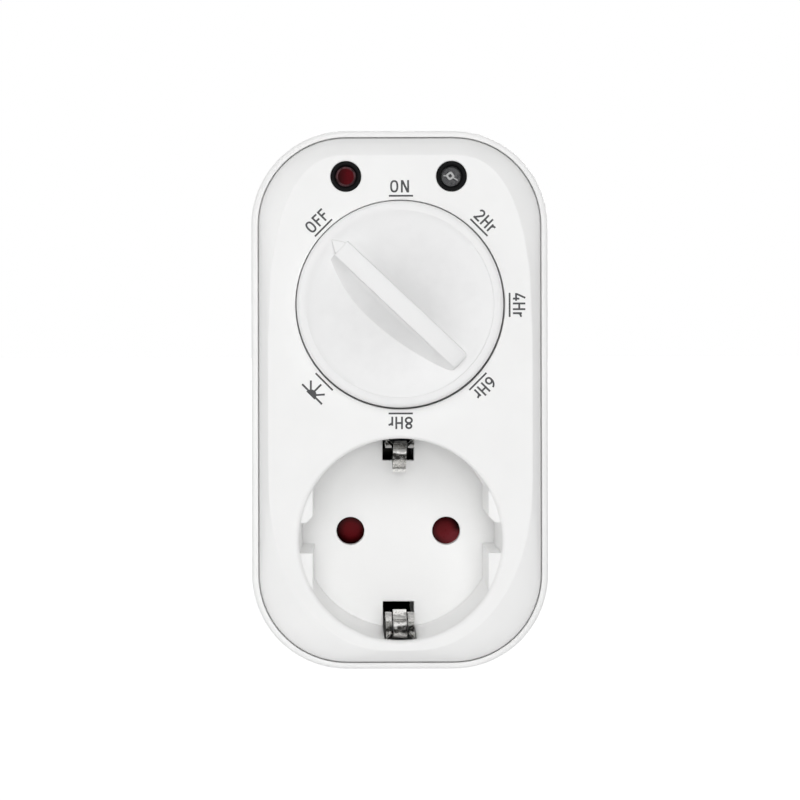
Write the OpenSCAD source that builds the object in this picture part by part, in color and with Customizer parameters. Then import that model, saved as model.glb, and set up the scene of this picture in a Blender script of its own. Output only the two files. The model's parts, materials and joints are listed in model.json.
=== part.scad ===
// Plug-in countdown timer switch: an earthed round-pin plug behind, an earthed socket in front,
// a rotary dial above the socket, a lamp and a daylight sensor at the top.
// Frame: +Z up, the front faces -Y, the plug pins point +Y.
// The origin is the centre of the plug's face, midway between its pins.

/* [Housing] */
// Width of the rear housing
housing_w = 57; // [56.6:0.1:58]
// Height of the rear housing
housing_h = 103.5; // [103:0.1:105]
// Outer corner radius of the rear housing
corner_r = 18.2; // [17.5:0.1:18.6]
// Depth of the body, front face to back wall
body_depth = 40; // [39.5:0.1:41]
// Height of the body's centre above the socket's centre
centre_z = 26.5; // [26.3:0.1:26.7]
// Wall thickness of the housing and of the cover
wall = 2; // [1.8:0.1:2.2]
// Distance from the housing's outline in to the cover's outline
rim_w = 1.5; // [1.4:0.1:1.8]
// Clearance between cover and rim
seam_gap = 0.25; // [0.2:0.05:0.35]
// Depth of the seam behind the front face
seam_depth = 4; // [3.6:0.1:4.4]

/* [Front face] */
// Half width of the flat front face
face_half_w = 25.2; // [24.8:0.1:25.6]
// Height of the flat face's top edge above the socket's centre
face_top = 73.3; // [72.8:0.1:73.8]
// Height of the flat face's bottom edge
face_bottom = -21.1; // [-21.4:0.1:-20.8]

/* [Dial] */
// Height of the dial above the socket's centre
dial_z = 44.8; // [44.6:0.1:45]
// Radius of the knob
knob_r = 19.6; // [19.4:0.1:19.7]
// Gap around the knob
knob_gap = 0.35; // [0.3:0.05:0.5]
// How far the knob's rim stands out of the front face
knob_rise = 2.6; // [2.2:0.1:3]
// How far the finger bar stands out of the knob's rim
bar_rise = 2.9; // [2.5:0.1:3.2]
// Width of the finger bar's top
bar_w = 3.7; // [3.4:0.1:4]
// Radius of the dish in the knob
dish_r = 17.7; // [17.4:0.1:18]
// Depth of the dish below the rim
dish_depth = 2.6; // [2.4:0.1:2.8]
// Angle between two settings of the dial
setting_step = 45; // [45]

/* [Socket] */
// Radius of the recess that takes a plug
recess_r = 19.3; // [19.2:0.05:19.4]
// Depth of the recess
recess_depth = 17.5; // [17.5:0.1:17.8]
// Distance between the two live holes
pin_pitch = 19; // [19]
// Radius of the live holes
pin_hole_r = 2.78; // [2.7:0.02:2.85]
// Half distance between the guide flats
guide_flat = 16.7; // [16.5:0.1:16.9]
// Width of the notch between two guide blocks
guide_notch = 5; // [4.8:0.1:5.2]
// Width of the slots for the earth clips
earth_slot_w = 6.2; // [6:0.1:6.4]

/* [Plug] */
// Radius of the plug's base
base_r = 18.5; // [18.3:0.1:18.6]
// Depth of the plug's base
base_depth = 17; // [17:0.1:17.4]
// Half distance between the base's side flats
base_flat = 16.4; // [16.2:0.1:16.5]
// Radius of a plug pin
pin_r = 2.4; // [2.4]
// Length of a plug pin
pin_len = 19; // [19]

/* [Lamp and sensor] */
// Height of the lamp and the sensor
lamp_z = 69.2; // [69:0.1:69.4]
// Distance from the lamp to the sensor
lamp_pitch = 20.1; // [19.9:0.1:20.3]
// How far the two stand to the left of the middle
lamp_shift = 0.25; // [0.1:0.05:0.4]
// Radius of their holes
lamp_hole_r = 2.95; // [2.9:0.05:3]
// Radius of their lenses
lens_r = 1.9; // [1.8:0.05:1.95]

/* [Hidden] */
$fn = 64;

eps = 0.05;                                 // overlap that makes two shapes one
slack = 0.05;                               // radial play of a turning or guided piece
snug = 0.02;                                // radial gap of a riveted or pressed piece

// Planes across the depth, front to back
face_y = -(base_depth + body_depth);        // flat front face
seam_y = face_y + seam_depth;               // front edge of the housing
ledge_y = seam_y + 1.5;                     // ledge that the cover sits on
skirt_y = ledge_y + 3.5;                    // back edge of the cover's skirt
knob_floor_y = face_y + 5.5;                // front of the floor behind the knob
knob_floor_back_y = knob_floor_y + 1.6;
board_y = -43;                              // front of the circuit board
board_t = 1.6;
board_back_y = board_y + board_t;
floor_y = face_y + recess_depth;            // front of the recess floor
floor_back_y = floor_y + wall;
back_y = -base_depth;                       // outside of the back wall
back_wall = 1.8;
back_inner_y = back_y - back_wall;          // inside of the back wall

// Corner centres, seen from the body's centre
corner_x = housing_w / 2 - corner_r;
corner_z = housing_h / 2 - corner_r;

// Screws of the housing and of the board
screw_spots = [
    for (x = [-19.6, 19.6], z = [centre_z - 42.4, centre_z + 42.4]) [x, z]
];
board_spots = [for (x = [-20.8, 20.8], z = [27.2, 61]) [x, z]];
pillar_front_y = -36;
screw_seat_y = -28;

live_x = -pin_pitch / 2;
neutral_x = pin_pitch / 2;
switched_x = live_x - 3.7;                  // wire from the relay to the live contact
led_x = -lamp_pitch / 2 - lamp_shift;
sensor_x = lamp_pitch / 2 - lamp_shift;

// ---------------------------------------------------------------- helpers

// Extrudes an outline drawn in X and Z from y0 back to y1.
module slab(y0, y1) translate([0, y1, 0]) rotate([90, 0, 0]) linear_extrude(y1 - y0) children();

// Cylinder along Y.
module rod(x, z, y0, y1, r) translate([x, y1, z]) rotate([90, 0, 0]) cylinder(h = y1 - y0, r = r);

// Cone along Y, with radius r0 at y0 and r1 at y1.
module taper(x, z, y0, y1, r0, r1)
    translate([x, y1, z]) rotate([90, 0, 0]) cylinder(h = y1 - y0, r1 = r1, r2 = r0);

// Turns a profile, drawn as radius and Y, about an axis along Y.
module turned(x, z) translate([x, 0, z]) rotate([-90, 0, 0]) rotate_extrude() children();

// Box between two corners.
module block(low, high) translate(low) cube(high - low);

// Extrudes a profile drawn in Y and Z by w along X, about the middle.
module across(w) translate([-w / 2, 0, 0]) rotate([90, 0, 90]) linear_extrude(w) children();

function unit(v) = v / norm(v);
function left(v) = [-v[1], v[0]];

// A path whose corners are rounded with radius r, in steps.
function rounded(path, r, steps = 4) = [
    path[0],
    for (i = [1:len(path) - 2])
        let (p = path[i], u = unit(path[i - 1] - p), v = unit(path[i + 1] - p))
        let (half = acos(u * v) / 2)
        let (centre = p + unit(u + v) * r / sin(half))
        let (from = p + u * r / tan(half) - centre, to = p + v * r / tan(half) - centre)
        for (k = [0:steps]) centre + r * unit(from * (1 - k / steps) + to * k / steps),
    path[len(path) - 1]
];

// A path moved sideways by d, with mitred corners.
function beside(path, d) = [
    for (i = [0:len(path) - 1])
        let (last = len(path) - 1)
        let (a = left(unit(path[max(i, 1)] - path[max(i, 1) - 1])))
        let (b = left(unit(path[min(i + 1, last)] - path[min(i + 1, last) - 1])))
        path[i] + d * (a + b) / (1 + a * b)
];

function reversed(list) = [for (i = [len(list) - 1:-1:0]) list[i]];

// Sheet metal of thickness t, bent along a path.
module strip(path, t) polygon(concat(beside(path, t / 2), reversed(beside(path, -t / 2))));

// A path in Y and Z that comes in below Z = 0, given as if above it, and goes back out above.
function round_trip(above, below) = concat([for (p = below) [p[0], -p[1]]], reversed(above));

// Outline of the housing, moved in by inset.
module outline(inset) translate([0, centre_z]) {
    r = corner_r - inset;
    square([2 * (corner_x + r), 2 * corner_z], center = true);
    square([2 * corner_x, 2 * (corner_z + r)], center = true);
    for (x = [-corner_x, corner_x], z = [-corner_z, corner_z]) translate([x, z]) circle(r);
}

// A point of a corner that is a quarter of a superellipse, where its edge faces angle.
// corner = [centre x, centre z, half axis x, half axis z, exponent]
function corner_point(corner, angle) =
    let (n = corner[4])
    let (p = pow(corner[2] * abs(cos(angle)), 1 / (n - 1)))
    let (q = pow(corner[3] * abs(sin(angle)), 1 / (n - 1)))
    let (s = pow(pow(p, n) + pow(q, n), 1 / n))
    [corner[0] + corner[2] * p / s, corner[1] + corner[3] * q / s];

corner_steps = 15;

// A closed outline whose top and bottom corners differ, mirrored about X = 0. Every outline
// made this way has its points in the same order, so that any two can be lofted.
function ring(top, bottom) = [
    for (quarter = [0:3], i = [0:corner_steps])
        let (angle = 90 * (quarter + i / corner_steps))
        let (upper = quarter < 2)
        let (p = corner_point(upper ? top : bottom, angle))
        [(quarter == 0 || quarter == 3) ? p[0] : -p[0], p[1] * (upper ? 1 : -1)]
];

// Corners given as distances from z = 0; a bottom corner is stored as if turned up.
function housing_ring(inset) =
    let (r = corner_r - inset)
    ring([corner_x, centre_z + corner_z, r, r, 2], [corner_x, corner_z - centre_z, r, r, 2]);
function face_ring(inset) =
    ring([10, 37.8, face_half_w - 10 - inset, face_top - 37.8 - inset, 2.5],
         [2, -12, face_half_w - 2 - inset, 12 - face_bottom - inset, 2.15]);

function blend(a, b, w) = [for (i = [0:len(a) - 1]) a[i] * (1 - w) + b[i] * w];

// Solid through outlines that all have the same number of points, back to front.
module loft(rings, ys) {
    n = len(rings[0]);
    last = len(rings) - 1;
    points = [for (k = [0:last]) for (p = rings[k]) [p[0], ys[k], p[1]]];
    sides = [
        for (k = [0:last - 1], i = [0:n - 1])
            let (j = (i + 1) % n)
            let (a = k * n, b = a + n)
            for (face = [[a + i, b + i, b + j], [a + i, b + j, a + j]]) face
    ];
    caps = [[for (i = [0:n - 1]) i], [for (i = [n - 1:-1:0]) last * n + i]];
    polyhedron(points, concat(caps, sides));
}

// Coil spring along Y from y0 to y1: mean radius r, round wire, straight legs of length leg.
module coil(r, wire_r, y0, y1, turns, leg = 0) {
    sides = 6;
    steps = 12;
    count = turns * steps;
    points = [
        for (i = [-1:count + 1], j = [0:sides - 1])
            let (k = min(max(i, 0), count))
            let (a = 360 * k / steps, b = 360 * j / sides)
            let (reach = r + wire_r * cos(b), slide = leg * (i - k))
            [
                reach * cos(a) - slide * sin(a),
                y0 + (y1 - y0) * k / count + wire_r * sin(b),
                reach * sin(a) + slide * cos(a)
            ]
    ];
    first = leg > 0 ? 0 : 1;
    last = leg > 0 ? count + 2 : count + 1;
    walls = [
        for (i = [first:last - 1], j = [0:sides - 1])
            let (k = (j + 1) % sides, a = i * sides, b = a + sides)
            for (face = [[a + j, a + k, b + k], [a + j, b + k, b + j]]) face
    ];
    ends = [[for (j = [sides - 1:-1:0]) first * sides + j], [for (j = [0:sides - 1]) last * sides + j]];
    polyhedron(points, concat(ends, walls));
}

// ---------------------------------------------------------------- moulded shells

bevel_steps = 5;
skirt_play = 0.2;                           // gap between the cover's skirt and the housing
boss_r = 2.8;                               // boss of a housing screw
pilot_r = 1.35;
pilot_front_y = -47;
board_boss_r = 2.4;
lip_r = 0.8;                                // rounding of the recess's mouth
draft = 0.2;                                // how much the recess narrows towards its floor
cup_wall = 1.9;                             // wall around the recess
cup_r = recess_r + cup_wall;
well_wall = 1.5;                            // wall around the knob's well
tube_wall = 1.15;                           // wall of the tubes around the lamps
tube_back_y = -50;
slot_inner_z = 14;                          // where the earth slots start
guide_front_y = face_y + 0.6;               // front of the guide blocks
guide_lean = 0.7;                           // the notch's extra width towards +Z
guide_corner = 1.8;                         // corner cut off the upper blocks
rib_t = 1.2;
rib_z = 5;                                  // ribs between the recess's wall and the sides
rib_reach = 25.1;
rib_front_y = face_y + wall - 0.3;           // within the face's wall
rib_back_y = face_y + 9;
stake_head = 0.8;

// Softly rounded bevel from the seam up to the flat face.
function bevel_drop(w) = seam_depth * (0.55 * w + 0.45 * (1 - sqrt(max(0, 1 - w * w))));

module cover_skin() {
    ws = [for (i = [bevel_steps:-1:0]) sin(90 * i / bevel_steps)];
    rings = [for (w = ws) blend(face_ring(0), housing_ring(rim_w), w)];
    heights = [for (w = ws) face_y + bevel_drop(w)];
    loft(concat([housing_ring(rim_w)], rings), concat([ledge_y], heights));
}

module cover_hollow() loft(
    [housing_ring(rim_w + wall), housing_ring(rim_w + wall), face_ring(1)],
    [skirt_y + eps, seam_y + 0.8, face_y + wall]
);

// Cavity that a plug's body enters, with a rounded mouth and a little draft.
module recess() {
    taper(0, 0, face_y + lip_r, floor_y, recess_r, recess_r - draft);
    rod(0, 0, face_y - 1, face_y + lip_r + eps, recess_r);
    turned(0, 0) difference() {
        translate([0, face_y - 1]) square([recess_r + lip_r, lip_r + 1]);
        translate([recess_r + lip_r, face_y + lip_r]) circle(lip_r);
    }
}

// The two blocks beside the recess's notch, on the +X side.
module guide_blocks() slab(guide_front_y, floor_y + eps) difference() {
    circle(recess_r + draft + eps);
    translate([-cup_r, -cup_r]) square([cup_r + guide_flat, 2 * cup_r]);
    translate([guide_flat - 1, -guide_notch / 2]) square([cup_r, guide_notch + guide_lean]);
    translate([guide_flat, guide_notch / 2 + guide_lean]) rotate(45) square(guide_corner, center = true);
}

module earth_slots() for (side = [0, 1]) mirror([0, 0, side])
    block([-earth_slot_w / 2, face_y + cup_wall, slot_inner_z],
          [earth_slot_w / 2, floor_back_y + eps, cup_r + 2 * eps]);

module side_ribs() for (side = [0, 1], z = [-rib_z, rib_z]) mirror([side, 0, 0])
    block([cup_r - wall / 2, rib_front_y, z - rib_t / 2], [rib_reach, rib_back_y, z + rib_t / 2]);

stake_spots = [for (x = [-12.4, 12.4], z = [-12.4, 12.4]) [x, z]];

module front_cover() color("whitesmoke") {
    difference() {
        union() {
            difference() {
                union() {
                    cover_skin();
                    slab(ledge_y - eps, skirt_y) outline(wall + skirt_play);
                }
                cover_hollow();
            }
            rod(0, 0, face_y + wall / 2, floor_back_y, cup_r);
            rod(0, dial_z, face_y + wall / 2, knob_floor_back_y, knob_r + knob_gap + well_wall);
            for (x = [led_x, sensor_x])
                rod(x, lamp_z, face_y + wall / 2, tube_back_y, lamp_hole_r + tube_wall);
            for (s = screw_spots) rod(s[0], s[1], face_y + 3, pillar_front_y - 0.3, boss_r);
            for (s = board_spots) rod(s[0], s[1], face_y + wall / 2, board_y, board_boss_r);
            side_ribs();
        }
        recess();
        earth_slots();
        for (x = [live_x, neutral_x]) rod(x, 0, floor_y - eps, floor_back_y + eps, pin_hole_r);
        rod(0, dial_z, face_y - 1, knob_floor_y, knob_r + knob_gap);
        rod(0, dial_z, knob_floor_y - eps, knob_floor_back_y + eps, bushing_r + 0.2);
        for (x = [led_x, sensor_x]) rod(x, lamp_z, face_y - 1, tube_back_y + 1, lamp_hole_r);
        for (s = screw_spots) rod(s[0], s[1], pilot_front_y, pillar_front_y, pilot_r);
        for (s = board_spots) rod(s[0], s[1], board_pilot_front_y, board_y + eps, board_pilot_r);
    }
    guide_blocks();
    mirror([1, 0, 0]) guide_blocks();
    for (s = stake_spots) {
        rod(s[0], s[1], floor_back_y - eps, carrier_lug_y, stake_r);
        rod(s[0], s[1], carrier_lug_y, carrier_lug_y + stake_head, stake_r + stake_head);
    }
}

back_round = 3.5;
rim_round = 0.9;
base_wall = 2.5;                            // the plug's face
base_side_wall = 2.2;                       // the sides of the plug's base
base_round = 1;
base_rib_w = 4.6;                           // guide rib on the side of the plug's base
pillar_r = 3.6;
screw_head_r = 2.5;
screw_head_t = 2;
housing_rib_x = 25.3;

// Section through the housing's side: distance from the corner centre, and Y.
module housing_section() {
    polygon([
        [0, back_y], [corner_r - back_round, back_y], [corner_r, back_y - back_round],
        [corner_r, seam_y + rim_round], [corner_r - rim_round, seam_y], [0, seam_y]
    ]);
    translate([corner_r - back_round, back_y - back_round]) circle(back_round);
    translate([corner_r - rim_round, seam_y + rim_round]) circle(rim_round);
}

module housing_solid() translate([0, 0, centre_z]) {
    block([-corner_x, seam_y, -corner_z], [corner_x, back_y, corner_z]);
    for (x = [0, 1], z = [0, 1]) mirror([x, 0, 0]) mirror([0, 0, z])
        translate([corner_x, 0, corner_z]) rotate([-90, 0, 0]) rotate([0, 0, -90])
            rotate_extrude(angle = 90) housing_section();
    for (x = [0, 1]) mirror([x, 0, 0])
        translate([corner_x, 0, -corner_z]) linear_extrude(2 * corner_z) housing_section();
    for (z = [0, 1]) mirror([0, 0, z])
        translate([corner_x, 0, corner_z]) rotate([0, -90, 0]) linear_extrude(2 * corner_x) housing_section();
}

// Outline of the plug's base: a circle with two flats, and a guide rib on each flat.
module base_outline(inset) {
    intersection() {
        circle(base_r - inset);
        square([2 * (base_flat - inset), 2 * base_r], center = true);
    }
}

module base_solid() {
    intersection() {
        union() {
            slab(back_y - 1, 0) base_outline(0);
            slab(back_y - 1, 0) square([2 * base_r, base_rib_w], center = true);
        }
        turned(0, 0) {
            polygon([
                [0, back_y - 1], [base_r, back_y - 1], [base_r, -base_round], [base_r - base_round, 0], [0, 0]
            ]);
            translate([base_r - base_round, -base_round]) circle(base_round);
        }
    }
}

strip_w = 5.8;                              // earth strip on the plug
strip_y = -15.4;                            // front of its cross member
strip_t = 1;
strip_play = 0.3;                           // gap beside the earth strip
head_play = 0.3;                            // gap around a screw's head

module rear_housing() color("white") difference() {
    union() {
        difference() {
            housing_solid();
            slab(seam_y - 1, back_inner_y) outline(wall);
            slab(seam_y - 1, ledge_y) outline(rim_w - seam_gap);
        }
        base_solid();
        for (s = screw_spots) rod(s[0], s[1], pillar_front_y, back_inner_y + eps, pillar_r);
        for (side = [0, 1], z = [12, 32, 52]) mirror([side, 0, 0])
            block([housing_rib_x, skirt_y + 2, z - rib_t / 2],
                  [housing_w / 2 - wall + eps, back_inner_y + eps, z + rib_t / 2]);
    }
    difference() {
        slab(back_inner_y - 1, -base_wall) base_outline(base_side_wall);
        rod(0, retainer_screw_z, retainer_y + retainer_t, 0, retainer_boss_r);
    }
    for (x = [live_x, neutral_x]) rod(x, 0, -base_wall - 1, 1, neck_r + snug);
    rod(0, earth_hole_z, -base_wall - 1, 1, earth_hole_r);
    rod(0, retainer_screw_z, retainer_y, retainer_pilot_back_y, retainer_pilot_r);
    for (side = [0, 1]) mirror([0, 0, side]) {
        block([-strip_w / 2 - strip_play, back_y + 0.6, base_r - 1.5 * strip_t],
              [strip_w / 2 + strip_play, -2 * strip_t, base_r + 1]);
        block([-strip_w / 2 - strip_play, strip_y - 0.1, base_r - 4 * strip_t],
              [strip_w / 2 + strip_play, strip_y + strip_t + 0.1, base_r + 1]);
    }
    for (s = screw_spots) {
        rod(s[0], s[1], screw_seat_y, back_y + 1, screw_head_r + head_play);
        rod(s[0], s[1], pillar_front_y - 1, screw_seat_y + eps, pilot_r + 3 * slack);
    }
}

// ---------------------------------------------------------------- dial and its switch

rim_y = face_y - knob_rise;                 // front of the knob's rim
bar_y = rim_y - bar_rise;                   // front of the finger bar
knob_back_y = knob_floor_y - 0.6;
dish_sphere_r = (dish_r * dish_r + dish_depth * dish_depth) / (2 * dish_depth);
knob_t = 1.8;                               // thickness of the knob's front
knob_round = 1;                             // rounding of its rim
hollow_y = rim_y + knob_t + 0.4;            // front of the hollow behind the rim
flank_r = 5.5;                              // hollow of the finger bar's flanks
crown_r = 96;                               // crown of the finger bar's top
bar_root_y = bar_y + flank_r + 1.2;         // where the bar ends inside the knob's front
pointer_root_y = face_y + 0.5;
bar_back_z = -16.2;
bar_front_z = 15.7;
pointer_z = 17.8;                           // tip of the pointer
pointer_w = 2.6;
pointer_drop = 1.4;                         // step from the finger bar down to the pointer
web_t = 1.2;                                // ribs inside the knob
shaft_r = 2.5;
shaft_flat = 1.9;                           // distance of the shaft's flat from its axis
shaft_tip_y = face_y - 1.4;
web_y = face_y + 0.6;                       // front of the ribs and the hub inside the knob
bushing_r = 5;

// Places the dial's own pieces on its axis, turned to the first setting.
module at_dial() translate([0, 0, dial_z]) rotate([0, -setting_step, 0]) children();

// Turns what is drawn about the dial's axis, and puts it there.
module rotate_about_dial(a) translate([0, 0, dial_z]) rotate([0, a, 0]) children();

module dish_circle(r) translate([0, rim_y + dish_depth - dish_sphere_r]) circle(r, $fn = 256);

// Half section through the knob's cap: radius, and Y.
module knob_section() difference() {
    union() {
        translate([0, rim_y + knob_round]) square([knob_r, knob_back_y - rim_y - knob_round]);
        translate([0, rim_y]) square([knob_r - knob_round, knob_round + eps]);
        translate([knob_r - knob_round, rim_y + knob_round]) circle(knob_round);
    }
    dish_circle(dish_sphere_r);
    difference() {
        translate([0, hollow_y]) square([knob_r - knob_t, knob_back_y - rim_y]);
        dish_circle(dish_sphere_r + knob_t);
    }
}

// Finger bar, along Z: hollow flanks, a crowned top and a pointer at the front end.
module finger_bar() {
    reach = bar_w / 2 + flank_r;
    intersection() {
        translate([0, 0, bar_back_z]) linear_extrude(bar_front_z - bar_back_z) difference() {
            translate([-reach, bar_y]) square([2 * reach, bar_root_y - bar_y]);
            for (x = [-reach, reach]) translate([x, bar_y]) circle(flank_r);
        }
        translate([-reach, bar_y + crown_r, 0]) rotate([0, 90, 0])
            cylinder(h = 2 * reach, r = crown_r, $fn = 512);
        rod(0, 0, bar_y - 1, bar_root_y, dish_r - 0.6);
    }
    intersection() {
        slab(bar_y, pointer_root_y) polygon([
            [-pointer_w / 2, bar_front_z - 1], [pointer_w / 2, bar_front_z - 1],
            [pointer_w / 2, bar_front_z], [0, pointer_z], [-pointer_w / 2, bar_front_z]
        ]);
        across(pointer_w + 1) polygon([
            [bar_y + pointer_drop, bar_front_z - 1], [bar_y + pointer_drop, bar_front_z],
            [rim_y, pointer_z], [pointer_root_y, pointer_z], [pointer_root_y, bar_front_z - 1]
        ]);
    }
}

module knob() color("whitesmoke") at_dial() difference() {
    union() {
        turned(0, 0) knob_section();
        finger_bar();
        rod(0, 0, web_y, knob_back_y, bushing_r);
        for (a = [0:60:300]) rotate([0, a, 0])
            block([-web_t / 2, web_y, bushing_r - 1], [web_t / 2, knob_back_y - 1, knob_r - web_t]);
    }
    difference() {
        rod(0, 0, shaft_tip_y - 0.3, knob_back_y + eps, shaft_r + slack);
        shaft_flat_cut(shaft_flat + slack);
    }
}

// What a flat cuts off the dial's shaft, at a distance from the axis.
module shaft_flat_cut(distance)
    block([-shaft_r - 1, shaft_tip_y - 1, distance], [shaft_r + 1, knob_back_y + 1, shaft_r + 1]);

rotor_y = -47.6;                            // front of the rotor's disc
rotor_t = 3;
rotor_r = 10;
ball_r = 1.2;
ball_y = rotor_y + rotor_t / 2;
pivot_r = 1.5;

module switch_rotor() color("dimgray") at_dial() difference() {
    union() {
        rod(0, 0, shaft_tip_y, rotor_y + eps, shaft_r);
        rod(0, 0, rotor_y, rotor_y + rotor_t, rotor_r);
        rod(0, 0, rotor_y + rotor_t - eps, board_back_y + 0.3, pivot_r);
    }
    shaft_flat_cut(shaft_flat);
    translate([-rotor_r - 1, ball_y, 0]) rotate([0, 90, 0])
        cylinder(h = 2 * rotor_r + 2, r = ball_r + slack);
}

module detent_balls() color("silver") at_dial()
    for (side = [-1, 1]) translate([side * (rotor_r + 0.1 - ball_r), ball_y, 0]) sphere(ball_r);

detent_reach = rotor_r - 2 * ball_r - 0.2;  // half length of the detent spring

module detent_spring() color("lightsteelblue") at_dial() translate([0, ball_y, 0]) rotate([0, 0, 90])
    coil(0.8, 0.18, -detent_reach, detent_reach, 9);

wiper_y = rotor_y + rotor_t;
wiper_t = 0.3;
wiper_r = 4.5;
finger_w = 1.4;

// Leaf on the rotor's back, with three bent fingers that wipe the board's tracks.
module switch_wiper() color("goldenrod") at_dial() {
    slab(wiper_y, wiper_y + wiper_t) difference() {
        circle(wiper_r);
        circle(pivot_r + slack);
    }
    for (a = [-28, 0, 28]) rotate([0, a, 0]) across(finger_w) strip([
        [wiper_y + wiper_t / 2, 3], [wiper_y + 0.4, 6.2],
        [board_y - wiper_t / 2 - 0.05, 8], [wiper_y + 0.6, 9.3]
    ], wiper_t);
}

body_wall_r = rotor_r + 0.2;
body_t = 1.5;
body_floor_y = rotor_y - 0.2;               // inside of the switch's front
notch_r = 1.6;                              // notches that the detent balls drop into
peg_x = 11.3;                               // pegs that hold the switch on the board
peg_r = 0.9;

module switch_body() color("darkslategray") difference() {
    union() {
        rod(0, dial_z, body_floor_y - body_t, board_y - snug, body_wall_r + notch_r + 0.6);
        rod(0, dial_z, knob_floor_y + 0.2, rotor_y, bushing_r);
        for (x = [-peg_x, peg_x]) rod(x, dial_z, board_y - 1, board_back_y + 0.4, peg_r);
    }
    rod(0, dial_z, body_floor_y, board_y, body_wall_r);
    rod(0, dial_z, face_y, rotor_y, shaft_r + slack);
    for (i = [0:7]) rotate_about_dial(i * setting_step)
        rod(0, body_wall_r - 1, body_floor_y, board_y, notch_r);
}

// ---------------------------------------------------------------- circuit board

board_low_z = 23;
board_w = 48;
board_side_h = 40.5;
board_top_w = 31.6;
board_h = 52;
board_pilot_r = 1.2;
board_pilot_front_y = -50;
lead_r = 0.4;                               // wire leads of the larger components

module main_board() color("seagreen") slab(board_y, board_back_y) difference() {
    union() {
        translate([-board_w / 2, board_low_z]) square([board_w, board_side_h]);
        translate([-board_top_w / 2, board_low_z]) square([board_top_w, board_h]);
    }
    for (s = board_spots) translate(s) circle(board_pilot_r + 0.3);
    translate([0, dial_z]) circle(pivot_r + slack);
    for (x = [-peg_x, peg_x]) translate([x, dial_z]) circle(peg_r + 2 * slack);
}

// Body of a component that stands on the back of the board.
module on_board(low, high, height)
    block([low[0], board_back_y, low[1]], [high[0], board_back_y + height, high[1]]);

relay_low = [-16, 26.2];
relay_high = [3, 41.6];

module relay() color("royalblue") difference() {
    on_board(relay_low, relay_high, 15.4);
    for (x = [relay_low[0], relay_high[0]], z = [relay_low[1], relay_high[1]])
        translate([x, board_back_y, z]) rotate([90, 45, 0]) cube([0.8, 0.8, 2 * body_depth], center = true);
}

module dropper_capacitor() color("gold") {
    on_board([-15, 46.8], [3, 55.3], 14.5);
    on_board([-13.6, 46.5], [1.6, 55.6], 1.2);
}

can_rim = 0.8;
groove_depth = 0.3;

// Electrolytic capacitor: a sleeve with a groove near its foot and a recessed top.
module can(x, z, r, height) turned(x, z) difference() {
    translate([0, board_back_y]) square([r, height]);
    translate([r + can_rim - groove_depth, board_back_y + 1.8]) circle(can_rim);
    translate([0, board_back_y + height - groove_depth]) square([r - can_rim, 1]);
}

module smoothing_capacitor() color("midnightblue") can(11.5, 39.2, 4.5, 12.5);
module filter_capacitor() color("midnightblue") can(12.8, 51.2, 3.15, 11);

fuse_spot = [13, 30.2];
disc_r = 5;
disc_t = 3.6;
disc_spot = [-12, 56.9];

module fuse() color("saddlebrown") {
    rod(fuse_spot[0], fuse_spot[1], board_back_y + 0.6, board_back_y + 7.6, 4.2);
    for (x = [-2.5, 2.5]) rod(fuse_spot[0] + x, fuse_spot[1], board_back_y, board_back_y + 1, lead_r);
}

module varistor() color("steelblue") {
    translate([disc_spot[0], board_back_y + disc_r + 1, disc_spot[1]]) cylinder(h = disc_t, r = disc_r);
    for (x = [-2, 2])
        rod(disc_spot[0] + x, disc_spot[1] + disc_t / 2, board_back_y, board_back_y + disc_r / 2 + 0.5, lead_r);
}

thin_lead_r = 0.3;
axial_gap = 0.4;                            // how far axial components stand off the board

// Axial component: a body between two bent leads, lying along X.
module axial(length, r, span) {
    rotate([0, 90, 0]) cylinder(h = length, r = r, center = true);
    for (side = [-1, 1]) {
        translate([side * (length / 2 + span) / 2, 0, 0]) rotate([0, 90, 0])
            cylinder(h = span - length / 2, r = thin_lead_r, center = true);
        translate([side * span, -r - axial_gap, 0]) rotate([-90, 0, 0])
            cylinder(h = r + axial_gap, r = thin_lead_r);
        translate([side * span, 0, 0]) sphere(thin_lead_r);
    }
}

resistor_r = 1.1;
diode_r = 1.2;

module board_resistors() color("tan") for (z = [57.6, 61.2, 64.8, 68.4])
    translate([10, board_back_y + resistor_r + axial_gap, z]) axial(6.3, resistor_r, 4.6);

module rectifier_diodes() color("#202020") for (x = [-22.2, -18.9], z = [37, 49])
    translate([x, board_back_y + diode_r + axial_gap, z]) rotate([0, 90, 0]) axial(4.6, diode_r, 4);

chip_size = [9.6, 3.4, 6.4];
chip_spot = [-1.2, 65.6];
chip_pitch = 2.54;
chip_leg_t = 0.3;
chip_leg_y = board_back_y + 1.8;            // back of the legs' shoulders

module timer_chip() color("#262626") {
    translate([chip_spot[0], board_back_y + chip_size[1] / 2, chip_spot[1]]) cube(chip_size, center = true);
    for (i = [-1.5:1.5], side = [0, 1])
        translate([chip_spot[0] + i * chip_pitch, 0, chip_spot[1]]) mirror([0, 0, side]) {
            leg_z = chip_size[2] / 2 + 0.5;
            block([-0.25, board_back_y, leg_z - chip_leg_t / 2], [0.25, chip_leg_y, leg_z + chip_leg_t / 2]);
            block([-0.5, chip_leg_y - chip_leg_t, leg_z - 2 * chip_leg_t], [0.5, chip_leg_y, leg_z]);
        }
}

// ---------------------------------------------------------------- lamp and sensor

lens_back_y = -49.6;
lens_y = face_y + 0.5;                      // front of a lens
lens_bevel = 0.35;
lens_lead_x = 1.27;
lens_lead_r = 0.28;
sleeve_front_y = face_y + 0.15;
sleeve_back_y = -44;
flange_back_y = tube_back_y + 1.2;
flange_r = lamp_hole_r + 0.8;

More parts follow.
